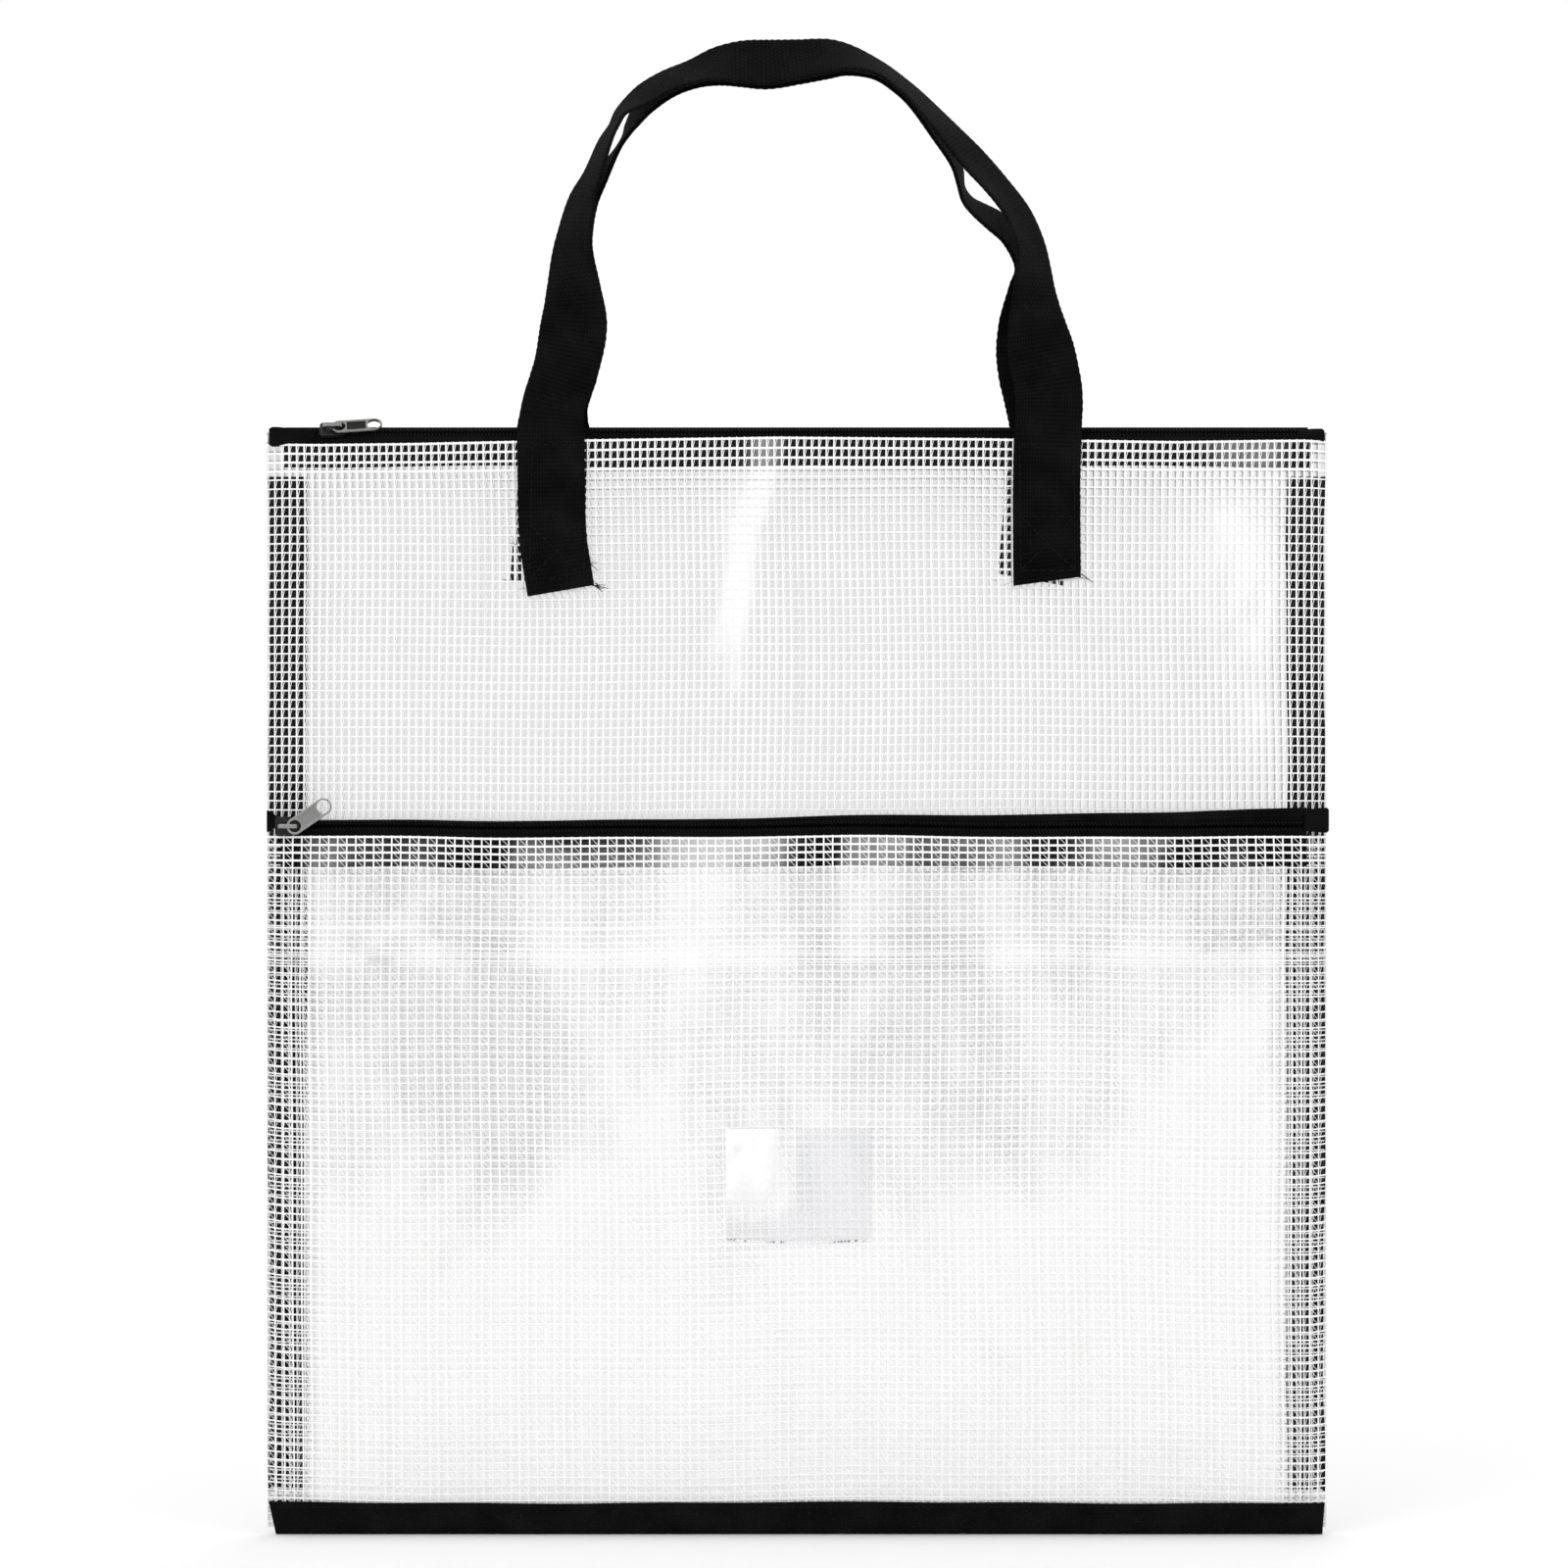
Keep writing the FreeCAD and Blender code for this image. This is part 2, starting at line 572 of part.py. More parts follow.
def add_zippers():
    end = size("zip_end_length")
    top_span = (end - TOP_END, TOP_END - end)
    pocket_span = (size("short_end_length") - POCKET_END, POCKET_END - end)
    add_tapes(top_span, pocket_span)
    add_coils(("top_zip_front_coil", "top_zip_back_coil"), TOP_FRAME, top_span)
    add_coils(("pocket_zip_lower_coil", "pocket_zip_upper_coil"), POCKET_FRAME, pocket_span)
    add_zip_ends("top_zip", TOP_FRAME, TOP_END, "zip_end_length")
    add_zip_ends("pocket_zip", POCKET_FRAME, POCKET_END, "short_end_length")
    for prefix, frame in (("top", TOP_FRAME), ("pocket", POCKET_FRAME)):
        x = -HALF_WIDTH + size(f"{prefix}_slider_inset")
        add_slider(prefix, frame, x)
        add_bail(prefix, frame, x)
        add_tab(prefix, frame, x, size(f"{prefix}_tab_tilt"))


# ---- handles ----


def box_stitch(label, corner):
    """A rectangular frame of thread on a sewn leg."""
    width = "(Sizes.strap_width - 2 * Sizes.stitch_margin)"
    length = "(Sizes.sewn_length - 4 * Sizes.stitch_margin)"
    thread = size("thread_width")
    outer = box(f"{label}_outer", width, "Sizes.thread_height", length, corner)
    inner = box(f"{label}_inner", f"{width} - 2 * Sizes.thread_width", "3 * Sizes.thread_height",
                f"{length} - 2 * Sizes.thread_width", corner + Vector(thread, -size("thread_height"), thread))
    frame = doc.addObject("Part::Cut", label)
    frame.Base = outer
    frame.Tool = inner
    return frame


def add_legs(side, middle, y_low, y_thread):
    """Two lengths of webbing sewn to a panel from the top edge down, and their box stitches."""
    half = size("handle_spacing") / 2
    width = size("strap_width")
    margin = size("stitch_margin")
    low = TOP - size("sewn_length")
    stitches = []
    for name, x in (("left", middle - half), ("right", middle + half)):
        kept_box(f"{side}_handle_{name}_leg", "Sizes.strap_width", "Sizes.strap_thickness", "Sizes.sewn_length",
                 Vector(x - width / 2, y_low, low))
        corner = Vector(x - width / 2 + margin, y_thread, low + margin)
        stitches.append(box_stitch(f"{side}_{name}_stitch", corner))
    both = doc.addObject("Part::Compound", f"{side}_handle_stitches")
    both.Links = stitches
    keep(f"{side}_handle_stitches", both)


# The loop as shares of half the legs' spacing and of the rise, from the left leg to the right.
LOOP_SHAPE = [
    (-1.0, 0.0),
    (-0.93, 0.33),
    (-0.89, 0.6),
    (-0.68, 0.87),
    (-0.28, 0.99),
    (0.11, 1.0),
    (0.43, 0.9),
    (0.73, 0.67),
    (0.93, 0.38),
    (1.0, 0.0),
]
LOOP_SECTIONS = 25
TWIST_RUN = 0.3


def twist_at(share):
    """Degrees of tip along the loop: none at the legs, full over the crown."""
    run = min(share, 1 - share) / TWIST_RUN
    ease = min(run, 1)
    return size("handle_twist") * ease * ease * (3 - 2 * ease)


def add_loop(label, middle, y):
    """One flat band of webbing that arches from leg to leg and tips on edge over the crown."""
    half = size("handle_spacing") / 2
    base = TOP + size("fold_gap")
    rise = size("handle_rise") - size("fold_gap")
    points = [Vector(middle + u * half, y, base + v * rise) for u, v in LOOP_SHAPE]
    path = Part.BSplineCurve()
    path.interpolate(Points=points, InitialTangent=Vector(0, 0, 1), FinalTangent=Vector(0, 0, -1))
    wires = []
    for i in range(LOOP_SECTIONS):
        share = i / (LOOP_SECTIONS - 1)
        where = path.parameterAtDistance(path.length() * share, path.FirstParameter)
        along = path.tangent(where)[0]
        outward = Vector(-along.z, 0, along.x)
        twist = math.radians(twist_at(share))
        wide = outward * math.cos(twist) + Vector(0, 1, 0) * math.sin(twist)
        thick = along.cross(wide)
        a = wide * (size("strap_width") / 2)
        b = thick * (STRAP / 2)
        centre = path.value(where)
        ring = [centre + a + b, centre - a + b, centre - a - b, centre + a - b]
        wires.append(Part.makePolygon([*ring, ring[0]]))
    part = doc.addObject("Part::Feature", label)
    part.Shape = Part.makeLoft(wires, True, False)
    keep(label, part, Placement())


def add_handles():
    middle = size("handle_offset")
    back_middle = middle - size("back_handle_shift")
    add_legs("front", middle, -PANEL_FACE - STRAP, -PANEL_FACE - STRAP - size("thread_height"))
    add_legs("back", back_middle, PANEL_FACE, PANEL_FACE + STRAP)
    centre_line = PANEL_FACE + STRAP / 2
    add_loop("front_handle_loop", middle, -centre_line)
    add_loop("back_handle_loop", back_middle, centre_line)


def report_places():
    """Prints what the record needs: levels, zipper middles and hinge lines."""
    hinge = PANEL_FACE + STRAP + size("hinge_gap")
    print("top", TOP, "bottom", BOTTOM, "hinge y", hinge, "pocket zip", POCKET_ZIP, "top zip", TOP_ZIP)
    print("pivot height", PIVOT_HEIGHT, "pocket top", POCKET_TOP, "ends", TOP_END, POCKET_END)


def write_parts():
    doc.recompute()
    for item in doc.Objects:
        if {"Invalid", "Error"} & set(item.State):
            raise RuntimeError(f"{item.Label} failed: {item.State}")
    os.makedirs("parts", exist_ok=True)
    for part in parts:
        shape = part.Shape
        if shape.isNull() or not shape.isValid() or shape.Volume <= 0:
            raise RuntimeError(f"{part.Label} has no valid solid")
    for part in parts:
        part.Shape.exportStep(f"parts/{part.Label}.step")
    print(len(parts), "sub-parts written")


add_panels()
add_bindings()
add_zippers()
add_handles()
write_parts()
report_places()
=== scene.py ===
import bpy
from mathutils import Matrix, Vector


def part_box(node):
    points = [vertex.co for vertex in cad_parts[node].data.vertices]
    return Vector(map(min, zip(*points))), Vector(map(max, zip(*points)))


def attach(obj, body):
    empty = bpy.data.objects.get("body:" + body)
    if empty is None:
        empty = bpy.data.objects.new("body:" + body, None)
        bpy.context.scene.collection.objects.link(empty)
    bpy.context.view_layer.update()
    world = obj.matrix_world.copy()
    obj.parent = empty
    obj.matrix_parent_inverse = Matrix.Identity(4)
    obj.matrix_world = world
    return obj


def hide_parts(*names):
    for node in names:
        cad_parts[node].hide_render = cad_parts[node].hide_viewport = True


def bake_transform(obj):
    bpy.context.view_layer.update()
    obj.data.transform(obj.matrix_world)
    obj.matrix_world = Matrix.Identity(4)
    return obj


bl_info = {
    "name": "Beach Bag Maker",
    "version": (1, 0, 0),
    "blender": (4, 5, 0),
    "location": "View3D > Sidebar > Beach Bag",
    "description": "Makes the films, scrims, tapes, webbing and zipper parts of a clear beach bag",
    "category": "Add Mesh",
}

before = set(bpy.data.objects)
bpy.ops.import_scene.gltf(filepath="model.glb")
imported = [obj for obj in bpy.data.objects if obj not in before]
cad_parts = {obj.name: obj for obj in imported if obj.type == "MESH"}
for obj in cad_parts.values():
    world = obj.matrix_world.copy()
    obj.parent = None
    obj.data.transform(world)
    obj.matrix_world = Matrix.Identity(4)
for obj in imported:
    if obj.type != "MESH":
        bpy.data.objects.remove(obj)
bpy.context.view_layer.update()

import math

import bmesh
import bpy
import numpy as np
from bpy.props import FloatProperty, FloatVectorProperty, PointerProperty
from bpy.types import Operator, Panel, PropertyGroup

MM = 0.001

# Places taken from the frame, in millimetres.
HALF_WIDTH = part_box("front_panel")[1].x / MM
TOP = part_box("front_handle_left_leg")[1].z / MM
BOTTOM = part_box("bottom_binding")[0].z / MM
LOWER_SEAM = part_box("back_panel")[0].z / MM
FRONT_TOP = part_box("front_panel")[1].z / MM
BACK_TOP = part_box("back_panel")[1].z / MM
POCKET_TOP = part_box("pocket_panel")[1].z / MM
PANEL_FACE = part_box("back_panel")[1].y / MM
FILM = 0.5
INSIDE = PANEL_FACE - FILM
SIDE_ROLL = 9.0
BOTTOM_RISE = 48.0
POCKET_MOUTH = 2.75
POCKET_SLACK = 6.0
POCKET_CREASE = TOP - 199.7
CREASE_TUCK = 4.5
TOP_CHAIN = (-0.2044, TOP - 1.8, math.radians(45))
POCKET_CHAIN = (-PANEL_FACE - 2.5, BOTTOM + 262.5, math.radians(90))
WINDOW_MIDDLE = (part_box("label_window")[0].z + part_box("label_window")[1].z) / 2 / MM
STRAP_LINE = PANEL_FACE + 0.7

# Sizes of small parts and rows of threads, in millimetres.
STRAP_WIDTH = 25.0
FRONT_LEGS = (-89, 92)
BACK_LEGS_SHIFT = 5
LEG_REACH = 68
WIRE_RADIUS = 0.27
TURN_HALF_WIDTH, TURN_HALF_DEPTH = 0.54, 0.43
STITCH_GAP = 0.45
BINDING_SEAM = 10.3
BODY_HEM_ROWS = (0.75, 4.15, 7.55, 10.95)
POCKET_HEM_ROWS = (0.7, 3.6, 6.45, 9.3)
CREASE_ROWS = (1.0, 2.5, 4.1, 5.9, 7.9, 10.1, 12.6, 15.6, 19.0)
WINDOW_ROWS, WINDOW_COLUMNS = 35, 45


# ---- settings ----


def colour(name, description, default):
    return FloatVectorProperty(name=name, description=description, default=default, size=3, min=0, max=1,
        subtype="COLOR")


def millimetres(name, description, default):
    return FloatProperty(name=name, description=description, default=default, min=0, soft_max=20)


class ClothSettings(PropertyGroup):
    """Film, its reinforcing threads and the label window"""
    thread_width: millimetres("Thread width", "Width of a reinforcing thread, in millimetres", 0.56)
    thread_lift: millimetres("Thread lift", "Height of a thread on each side of the film, in millimetres", 0.15)
    body_pitch_across: millimetres("Body pitch across", "Between upright threads of the body, in millimetres", 2.75)
    body_pitch_up: millimetres("Body pitch up", "Between level threads of the body, in millimetres", 3.4)
    pocket_pitch_across: millimetres("Pocket pitch across", "Between upright threads of the pocket, in millimetres",
        3.3)
    pocket_pitch_up: millimetres("Pocket pitch up", "Between level threads of the pocket, in millimetres", 2.87)
    ripple: millimetres("Ripple", "Depth of the film's waves, in millimetres", 0.9)
    film_shade: colour("Film", "Clear film", (0.035, 0.037, 0.038))
    # Colour of the white patches of painted glare on the film.
    painted_glare_shade: colour("Glare", "Cloudy patches of the film", (1.0, 1.0, 1.0))
    thread_shade: colour("Thread", "Reinforcing threads", (0.93, 0.93, 0.93))


class TrimSettings(PropertyGroup):
    """Webbing, tapes and stitching"""
    webbing_shade: colour("Webbing", "Handle webbing", (0.0022, 0.0022, 0.0025))
    binding_shade: colour("Binding", "Ribbed binding tape", (0.003, 0.003, 0.0033))
    tape_shade: colour("Zipper tape", "Woven zipper tape", (0.0022, 0.0022, 0.0025))
    stitch_length: FloatProperty(name="Stitch", description="Length of a stitch", default=0.0026, min=0.001,
        max=0.006, unit="LENGTH")
    webbing_thickness: FloatProperty(name="Webbing thickness", description="Thickness of the handle webbing",
        default=0.0014, min=0.0008, max=0.003, unit="LENGTH")


class MetalSettings(PropertyGroup):
    """Sliders, bails and pull tabs"""
    nickel_shade: colour("Nickel", "Plated bails and pull tabs", (0.29, 0.286, 0.278))
    enamel_shade: colour("Enamel", "Black slider bodies", (0.008, 0.008, 0.009))
    edge_round: FloatProperty(name="Edge rounding", description="Rounding of the metal edges", default=0.00016, min=0,
        max=0.0006, unit="LENGTH")


class StudioSettings(PropertyGroup):
    """Floor, light and camera"""
    floor_shade: colour("Floor", "Pale floor", (0.93, 0.93, 0.93))
    surround: FloatProperty(name="Surround", description="Strength of the white surround", default=1.0, min=0, max=4)
    key_power: FloatProperty(name="Key light", description="Power of the large front light", default=7.0, min=0,
        max=500, subtype="POWER", unit="POWER")
    lens: FloatProperty(name="Lens", description="Focal length", default=135.0, min=35, max=300,
        subtype="DISTANCE_CAMERA")
    field: FloatProperty(name="Field", description="Width that the picture takes in at the bag", default=0.58,
        min=0.2, max=2, unit="LENGTH")


# ---- meshes ----


def make_piece(name, verts, faces, material, slot, smooth=True, cloth=None):
    """A mesh from points in millimetres, with cloth coordinates in metres where its weave needs them."""
    mesh = bpy.data.meshes.new(name)
    mesh.from_pydata((np.asarray(verts, float) * MM).tolist(), [], [tuple(map(int, f)) for f in faces])
    mesh.validate()
    if cloth is not None:
        layer = mesh.uv_layers.new(name="cloth")
        spots = np.zeros(len(mesh.loops), dtype=np.int64)
        mesh.loops.foreach_get("vertex_index", spots)
        layer.data.foreach_set("uv", (np.asarray(cloth, float)[spots] * MM).astype(np.float32).ravel())
    mesh.polygons.foreach_set("use_smooth", [smooth] * len(mesh.polygons))
    mesh.materials.append(material)
    piece = in_scene(name, mesh)
    return piece


def in_scene(name, data):
    """A new object in the scene that shows this mesh, lamp or camera."""
    made = bpy.data.objects.new(name, data)
    bpy.context.scene.collection.objects.link(made)
    return made


def grid_faces(rows, columns, closed=False):
    """Quads over a grid of points counted row by row."""
    r, c = np.meshgrid(np.arange(rows - 1), np.arange(columns if closed else columns - 1), indexing="ij")
    r, c = r.ravel(), c.ravel()
    d = (c + 1) % columns
    return np.stack([r * columns + c, r * columns + d, (r + 1) * columns + d, (r + 1) * columns + c], 1)


def sweep(rings, caps=True, closed=True):
    """A tube through rings of points, and its end caps."""
    rings = np.asarray(rings, float)
    rows, columns = rings.shape[:2]
    faces = [tuple(f) for f in grid_faces(rows, columns, closed)]
    if caps:
        faces.append(tuple(range(columns - 1, -1, -1)))
        faces.append(tuple((rows - 1) * columns + i for i in range(columns)))
    return rings.reshape(-1, 3), faces


def swept_piece(name, rings, material, slot, cloth=None):
    return make_piece(name, *sweep(rings), material, slot, cloth=cloth)


class Gathered:
    """Points and faces of many small shapes that make one piece."""

    def __init__(self):
        self.verts, self.faces, self.count = [], [], 0

    def add(self, verts, faces):
        verts = np.asarray(verts, float)
        self.verts.append(verts)
        self.faces += [tuple(i + self.count for i in f) for f in faces]
        self.count += len(verts)

    def piece(self, name, material, slot, smooth=True):
        return make_piece(name, np.concatenate(self.verts), self.faces, material, slot, smooth)


def unit(vectors):
    return vectors / np.linalg.norm(vectors, axis=-1, keepdims=True)


def ease(t):
    """From 0 to 1, slow at both ends."""
    t = np.clip(t, 0, 1)
    return t * t * (3 - 2 * t)


# ---- shapes of the panels ----


def roll_off(x):
    climb = np.clip((HALF_WIDTH - np.abs(x)) / SIDE_ROLL, 0, 1)
    return 1 - (1 - climb) ** 2


def half_depth(x, z):
    climb = np.clip((z - LOWER_SEAM) / BOTTOM_RISE, 0, 1)
    return INSIDE * roll_off(x) * (1 - (1 - climb) ** 2)


def ripples(x, z, seed):
    """Soft waves of a film that was packed flat, from 0 to about 1, and always inward."""
    waves = np.random.default_rng(seed)
    total = 0
    for length, share in ((210, 0.30), (120, 0.25), (70, 0.2), (44, 0.15), (29, 0.10)):
        turn = waves.uniform(-0.9, 0.9)
        kx, kz = math.cos(turn) * 2 * math.pi / length, math.sin(turn) * 2 * math.pi / length
        total = total + share * (0.5 + 0.5 * np.sin(kx * x + kz * z + waves.uniform(0, 6.28)))
    return total


def crease(distance, width):
    return np.exp(-np.abs(distance) / width)


def calm_round_legs(x, z):
    """0 where the webbing is sewn down and 1 away from it."""
    left, right = FRONT_LEGS
    near = np.minimum(np.abs(x - left), np.abs(x - right))
    return np.maximum(ease((near - 15) / 14), ease((TOP - LEG_REACH - z) / 16))


def front_shape(x, z, deep):
    hem = ease((FRONT_TOP - 14 - z) / 16) * ease((z - LOWER_SEAM - 4) / 22)
    zip_line = ease((np.abs(z - POCKET_CHAIN[1] - 6) - 12) / 14)
    wave = ripples(x, z, 5) * hem * zip_line * calm_round_legs(x, z)
    fold = 0.5 * crease(x - 0.7, 1.6) * hem
    return -half_depth(x, z) - FILM / 2 + (deep * 1.3 * wave + fold) * roll_off(x)


def back_shape(x, z, deep):
    hem = ease((BACK_TOP - 17 - z) / 16) * ease((z - LOWER_SEAM - 4) / 22)
    wave = ripples(x, z, 11) * hem * calm_round_legs(x + BACK_LEGS_SHIFT, z)
    fold = 0.5 * crease(x + 0.4, 1.6) * hem
    return half_depth(x, z) + FILM / 2 - (deep * 1.3 * wave + fold) * roll_off(x)


def pocket_shape(x, z, deep):
    climb = np.clip((z - LOWER_SEAM) / (POCKET_TOP - LOWER_SEAM), 0, 1)
    slack = POCKET_MOUTH * climb + POCKET_SLACK * 4 * climb * (1 - climb)
    hem = ease((POCKET_TOP - 14 - z) / 18) * ease((z - LOWER_SEAM - 4) / 26)
    wave = ripples(x, z, 3) * hem
    fold = (0.55 * crease(x - 0.7, 1.5) + 1.0 * crease(z - (POCKET_CREASE + 0.006 * x), 1.3)) * hem
    above = np.maximum(z - POCKET_CREASE - 0.006 * x, 0)
    tuck = 2.4 * (1 - np.exp(-above / 5)) * np.exp(-above / 26) * hem
    corner = 0.0
    for side in (-1, 1):
        along = (HALF_WIDTH - 30 - side * x) * 0.8 + (z - POCKET_TOP + 42)
        reach = np.exp(-(((HALF_WIDTH - 34 - side * x) / 26) ** 2) - ((POCKET_TOP - 34 - z) / 22) ** 2)
        corner = corner + 1.0 * reach * np.sin(along / 4.2)
    base = -half_depth(x, z) - FILM * 1.5 - 0.05 - slack * roll_off(x)
    return base + (deep * 1.9 * wave + fold + tuck + np.clip(corner, 0, 1)) * roll_off(x)


def sag_of_zip(x):
    """The pocket zipper isn't dead straight between its ends."""
    held = ease((HALF_WIDTH - 22 - np.abs(x)) / 60)
    return held * (0.35 * np.sin(x / 33 + 0.8) + 0.25 * np.sin(x / 14.5) - 0.25)


def front_edge(x):
    """The front panel's upper edge rises a little towards the middle of the top zipper."""
    return np.interp(x, (-196, -178, -142, -77, -5, 68, 140, 187, 196),
        (-0.8, -1.1, -0.7, 0.7, 1.7, 1.1, 0.0, 0.6, 0.3))


def upper_tape_rise(x):
    """The pocket zipper's upper tape shows wider towards its right end."""
    return np.interp(x, (-196, -140, -77, -5, 68, 140, 196), (-0.6, -0.3, 0.0, 0.7, 1.8, 2.9, 4.4))


def skew(x, z, top):
    """How far the threads stray from straight lines."""
    near_top = np.exp(-np.maximum(top - z, 0) / 26)
    across = 0.55 * np.sin(z / 47 + x / 160) + 0.25 * np.sin(z / 19 + x / 60)
    up = 0.5 * np.sin(x / 52 + 0.4) + 0.22 * np.sin(x / 17 + z / 90)
    across = across * np.clip((HALF_WIDTH - np.abs(x)) / 20, 0, 1)
    return across * (1 - near_top), up * (1 - near_top)


class PanelCut:
    """One panel: where its cloth lies, from its edges, depth, sag and tuck."""

    def __init__(self, low, top, shape, ripple, sag=None, tuck=None, stray=1.0):
        self.low, self.top, self.shape, self.ripple = low, top, shape, ripple
        self.sag, self.tuck, self.stray = sag, tuck, stray

    def place(self, u, v):
        u, v = np.broadcast_arrays(np.asarray(u, float), np.asarray(v, float))
        dx, dz = skew(u, v, self.top)
        held = ease((v - self.low) / 12)
        x, z = u + dx * held, v + dz * held * self.stray
        if self.sag is not None:
            z = z + self.sag(u) * np.exp(-(self.top - v) / 22)
        if self.tuck is not None:
            level, spare = self.tuck
            z = z - spare * (1 - np.exp(-np.maximum(z - level, 0) / 13))
        return np.stack([x, self.shape(x, z, self.ripple), z], -1)

    def normal(self, u, v):
        e = 0.4
        along = self.place(u + e, v) - self.place(u - e, v)
        up = self.place(u, v + e) - self.place(u, v - e)
        return unit(np.cross(along, up))

    def columns(self):
        roll = np.linspace(HALF_WIDTH - SIDE_ROLL, HALF_WIDTH, 6)
        flat = np.linspace(-HALF_WIDTH + SIDE_ROLL, HALF_WIDTH - SIDE_ROLL, 67)[1:-1]
        middle = np.array([-1.6, -0.4, 0.7, 1.8, 3.0])
        flat = flat[np.abs(flat - 0.7) > 3.2]
        return np.sort(np.concatenate([-roll, flat, middle, roll]))

    def levels(self):
        rise = np.linspace(self.low, self.low + BOTTOM_RISE, 12)
        rest = np.linspace(self.low + BOTTOM_RISE, self.top, int((self.top - self.low - BOTTOM_RISE) / 5.6))[1:]
        return np.concatenate([rise, rest])


def film_sheet(name, cut, material):
    """The clear film of one panel."""
    columns, levels = cut.columns(), cut.levels()
    u, v = np.meshgrid(columns, levels)
    points = cut.place(u, v).reshape(-1, 3)
    flat = np.stack([u.ravel(), v.ravel()], 1)
    return make_piece(name, points, grid_faces(len(levels), len(columns)), material, "film", cloth=flat)


def thread_rows(cut, fixed, stations, upright, width, lift):
    """Threads along one direction of the cloth, each a flat bead in the film."""
    line, run = np.meshgrid(fixed, stations, indexing="ij")
    u, v = (line, run) if upright else (run, line)
    centre = cut.place(u, v)
    n = cut.normal(u, v)
    along = unit(np.gradient(centre, axis=1))
    side = np.cross(along, n)
    half = width / 2
    ring = [centre - side * half, centre + n * lift, centre + side * half, centre - n * lift]
    rings = np.stack(ring, 2)
    count, rows = rings.shape[:2]
    quads = grid_faces(rows, 4, closed=True)
    offsets = (np.arange(count) * rows * 4)[:, None, None]
    return rings.reshape(-1, 3), (quads[None] + offsets).reshape(-1, 4)


def leno_strands(cut, uprights, levels, width, lift, rake, every):
    """The thin second thread that crosses the meshes of every so many columns."""
    u, v = np.meshgrid(uprights[:-1:every], levels[:-1])
    u, v = u.ravel(), v.ravel()
    pitch_across, pitch_up = uprights[1] - uprights[0], levels[1] - levels[0]
    low = (u + rake[0] * pitch_across, v + 0.08 * pitch_up)
    high = (u + rake[1] * pitch_across, v + 0.92 * pitch_up)
    n = cut.normal((low[0] + high[0]) / 2, (low[1] + high[1]) / 2) * lift
    a, b = cut.place(*low), cut.place(*high)
    side = np.array([width / 2, 0, 0])
    quad = np.stack([a - side + n, a + side + n, b + side + n, b - side + n], 1)
    faces = np.arange(len(u) * 4).reshape(-1, 4)
    return quad.reshape(-1, 3), faces


def scrim(name, cut, material, pitch_across, pitch_up, cloth, hem_rows, rake, every=1):
    """Woven threads that reinforce one panel, with doubled rows where its edge is turned in."""
    width, lift = cloth.thread_width, cloth.thread_lift
    span = HALF_WIDTH - 0.4
    count = int(2 * span / pitch_across)
    uprights = np.linspace(-span, span, count + 1)
    rows = int((cut.top - cut.low - 0.8) / pitch_up)
    levels = np.linspace(cut.top - 0.4 - rows * pitch_up, cut.top - 0.4, rows + 1)
    gathered = Gathered()
    gathered.add(*thread_rows(cut, uprights, cut.levels(), True, width, lift))
    gathered.add(*thread_rows(cut, levels, cut.columns(), False, width * 0.94, lift))
    gathered.add(*leno_strands(cut, uprights, levels, width * 0.42, lift * 0.6, rake, every))
    turned = cut.top - np.array(hem_rows)
    gathered.add(*thread_rows(cut, turned, cut.columns(), False, width * 0.75, lift * 0.8))
    return gathered.piece(name, material, "film", smooth=False)


# ---- finishes ----


def new_finish(name, roughness, colour_value=None):
    material = bpy.data.materials.new(name)
    material.use_nodes = True
    surface = material.node_tree.nodes["Principled BSDF"]
    surface.inputs["Roughness"].default_value = roughness
    if colour_value is not None:
        surface.inputs["Base Color"].default_value = (*colour_value, 1)
        material.diffuse_color = (*colour_value, 1)
    return material, material.node_tree, surface


def add_node(tree, kind, fields=(), values=()):
    made = tree.nodes.new(kind)
    for field, value in dict(fields).items():
        setattr(made, field, value)
    for socket, value in dict(values).items():
        made.inputs[socket].default_value = value
    return made


def noise(tree, scale, detail=2.0, distortion=0.0, stretch=(1, 1, 1), place="Object"):
    """Noise in the piece's own place, or in its cloth coordinates."""
    if place == "cloth":
        source = add_node(tree, "ShaderNodeUVMap", {"uv_map": "cloth"}).outputs["UV"]
    else:
        source = add_node(tree, "ShaderNodeTexCoord").outputs[place]
    mapping = add_node(tree, "ShaderNodeMapping", values={"Scale": stretch})
    texture = add_node(tree, "ShaderNodeTexNoise", values={"Scale": scale, "Detail": detail,
        "Distortion": distortion})
    tree.links.new(source, mapping.inputs["Vector"])
    tree.links.new(mapping.outputs["Vector"], texture.inputs["Vector"])
    return texture.outputs["Fac"]


def spread_value(tree, source, low, high, to_low, to_high):
    ramp = add_node(tree, "ShaderNodeMapRange", {"interpolation_type": "SMOOTHSTEP"},
                    {"From Min": low, "From Max": high, "To Min": to_low, "To Max": to_high})
    tree.links.new(source, ramp.inputs["Value"])
    return ramp.outputs["Result"]


def two_tone(tree, surface, factor, dark, light):
    ramp = add_node(tree, "ShaderNodeValToRGB")
    ramp.color_ramp.elements[0].color = (*dark, 1)
    ramp.color_ramp.elements[1].color = (*light, 1)
    tree.links.new(factor, ramp.inputs["Fac"])
    tree.links.new(ramp.outputs["Color"], surface.inputs["Base Color"])


def sum_of(tree, first, second, weight):
    scaled = add_node(tree, "ShaderNodeMath", {"operation": "MULTIPLY_ADD"})
    scaled.inputs[1].default_value = weight
    tree.links.new(second, scaled.inputs[0])
    tree.links.new(first, scaled.inputs[2])
    return scaled.outputs["Value"]


def product_of(tree, first, second):
    made = add_node(tree, "ShaderNodeMath", {"operation": "MULTIPLY"})
    tree.links.new(first, made.inputs[0])
    tree.links.new(second, made.inputs[1])
    return made.outputs["Value"]


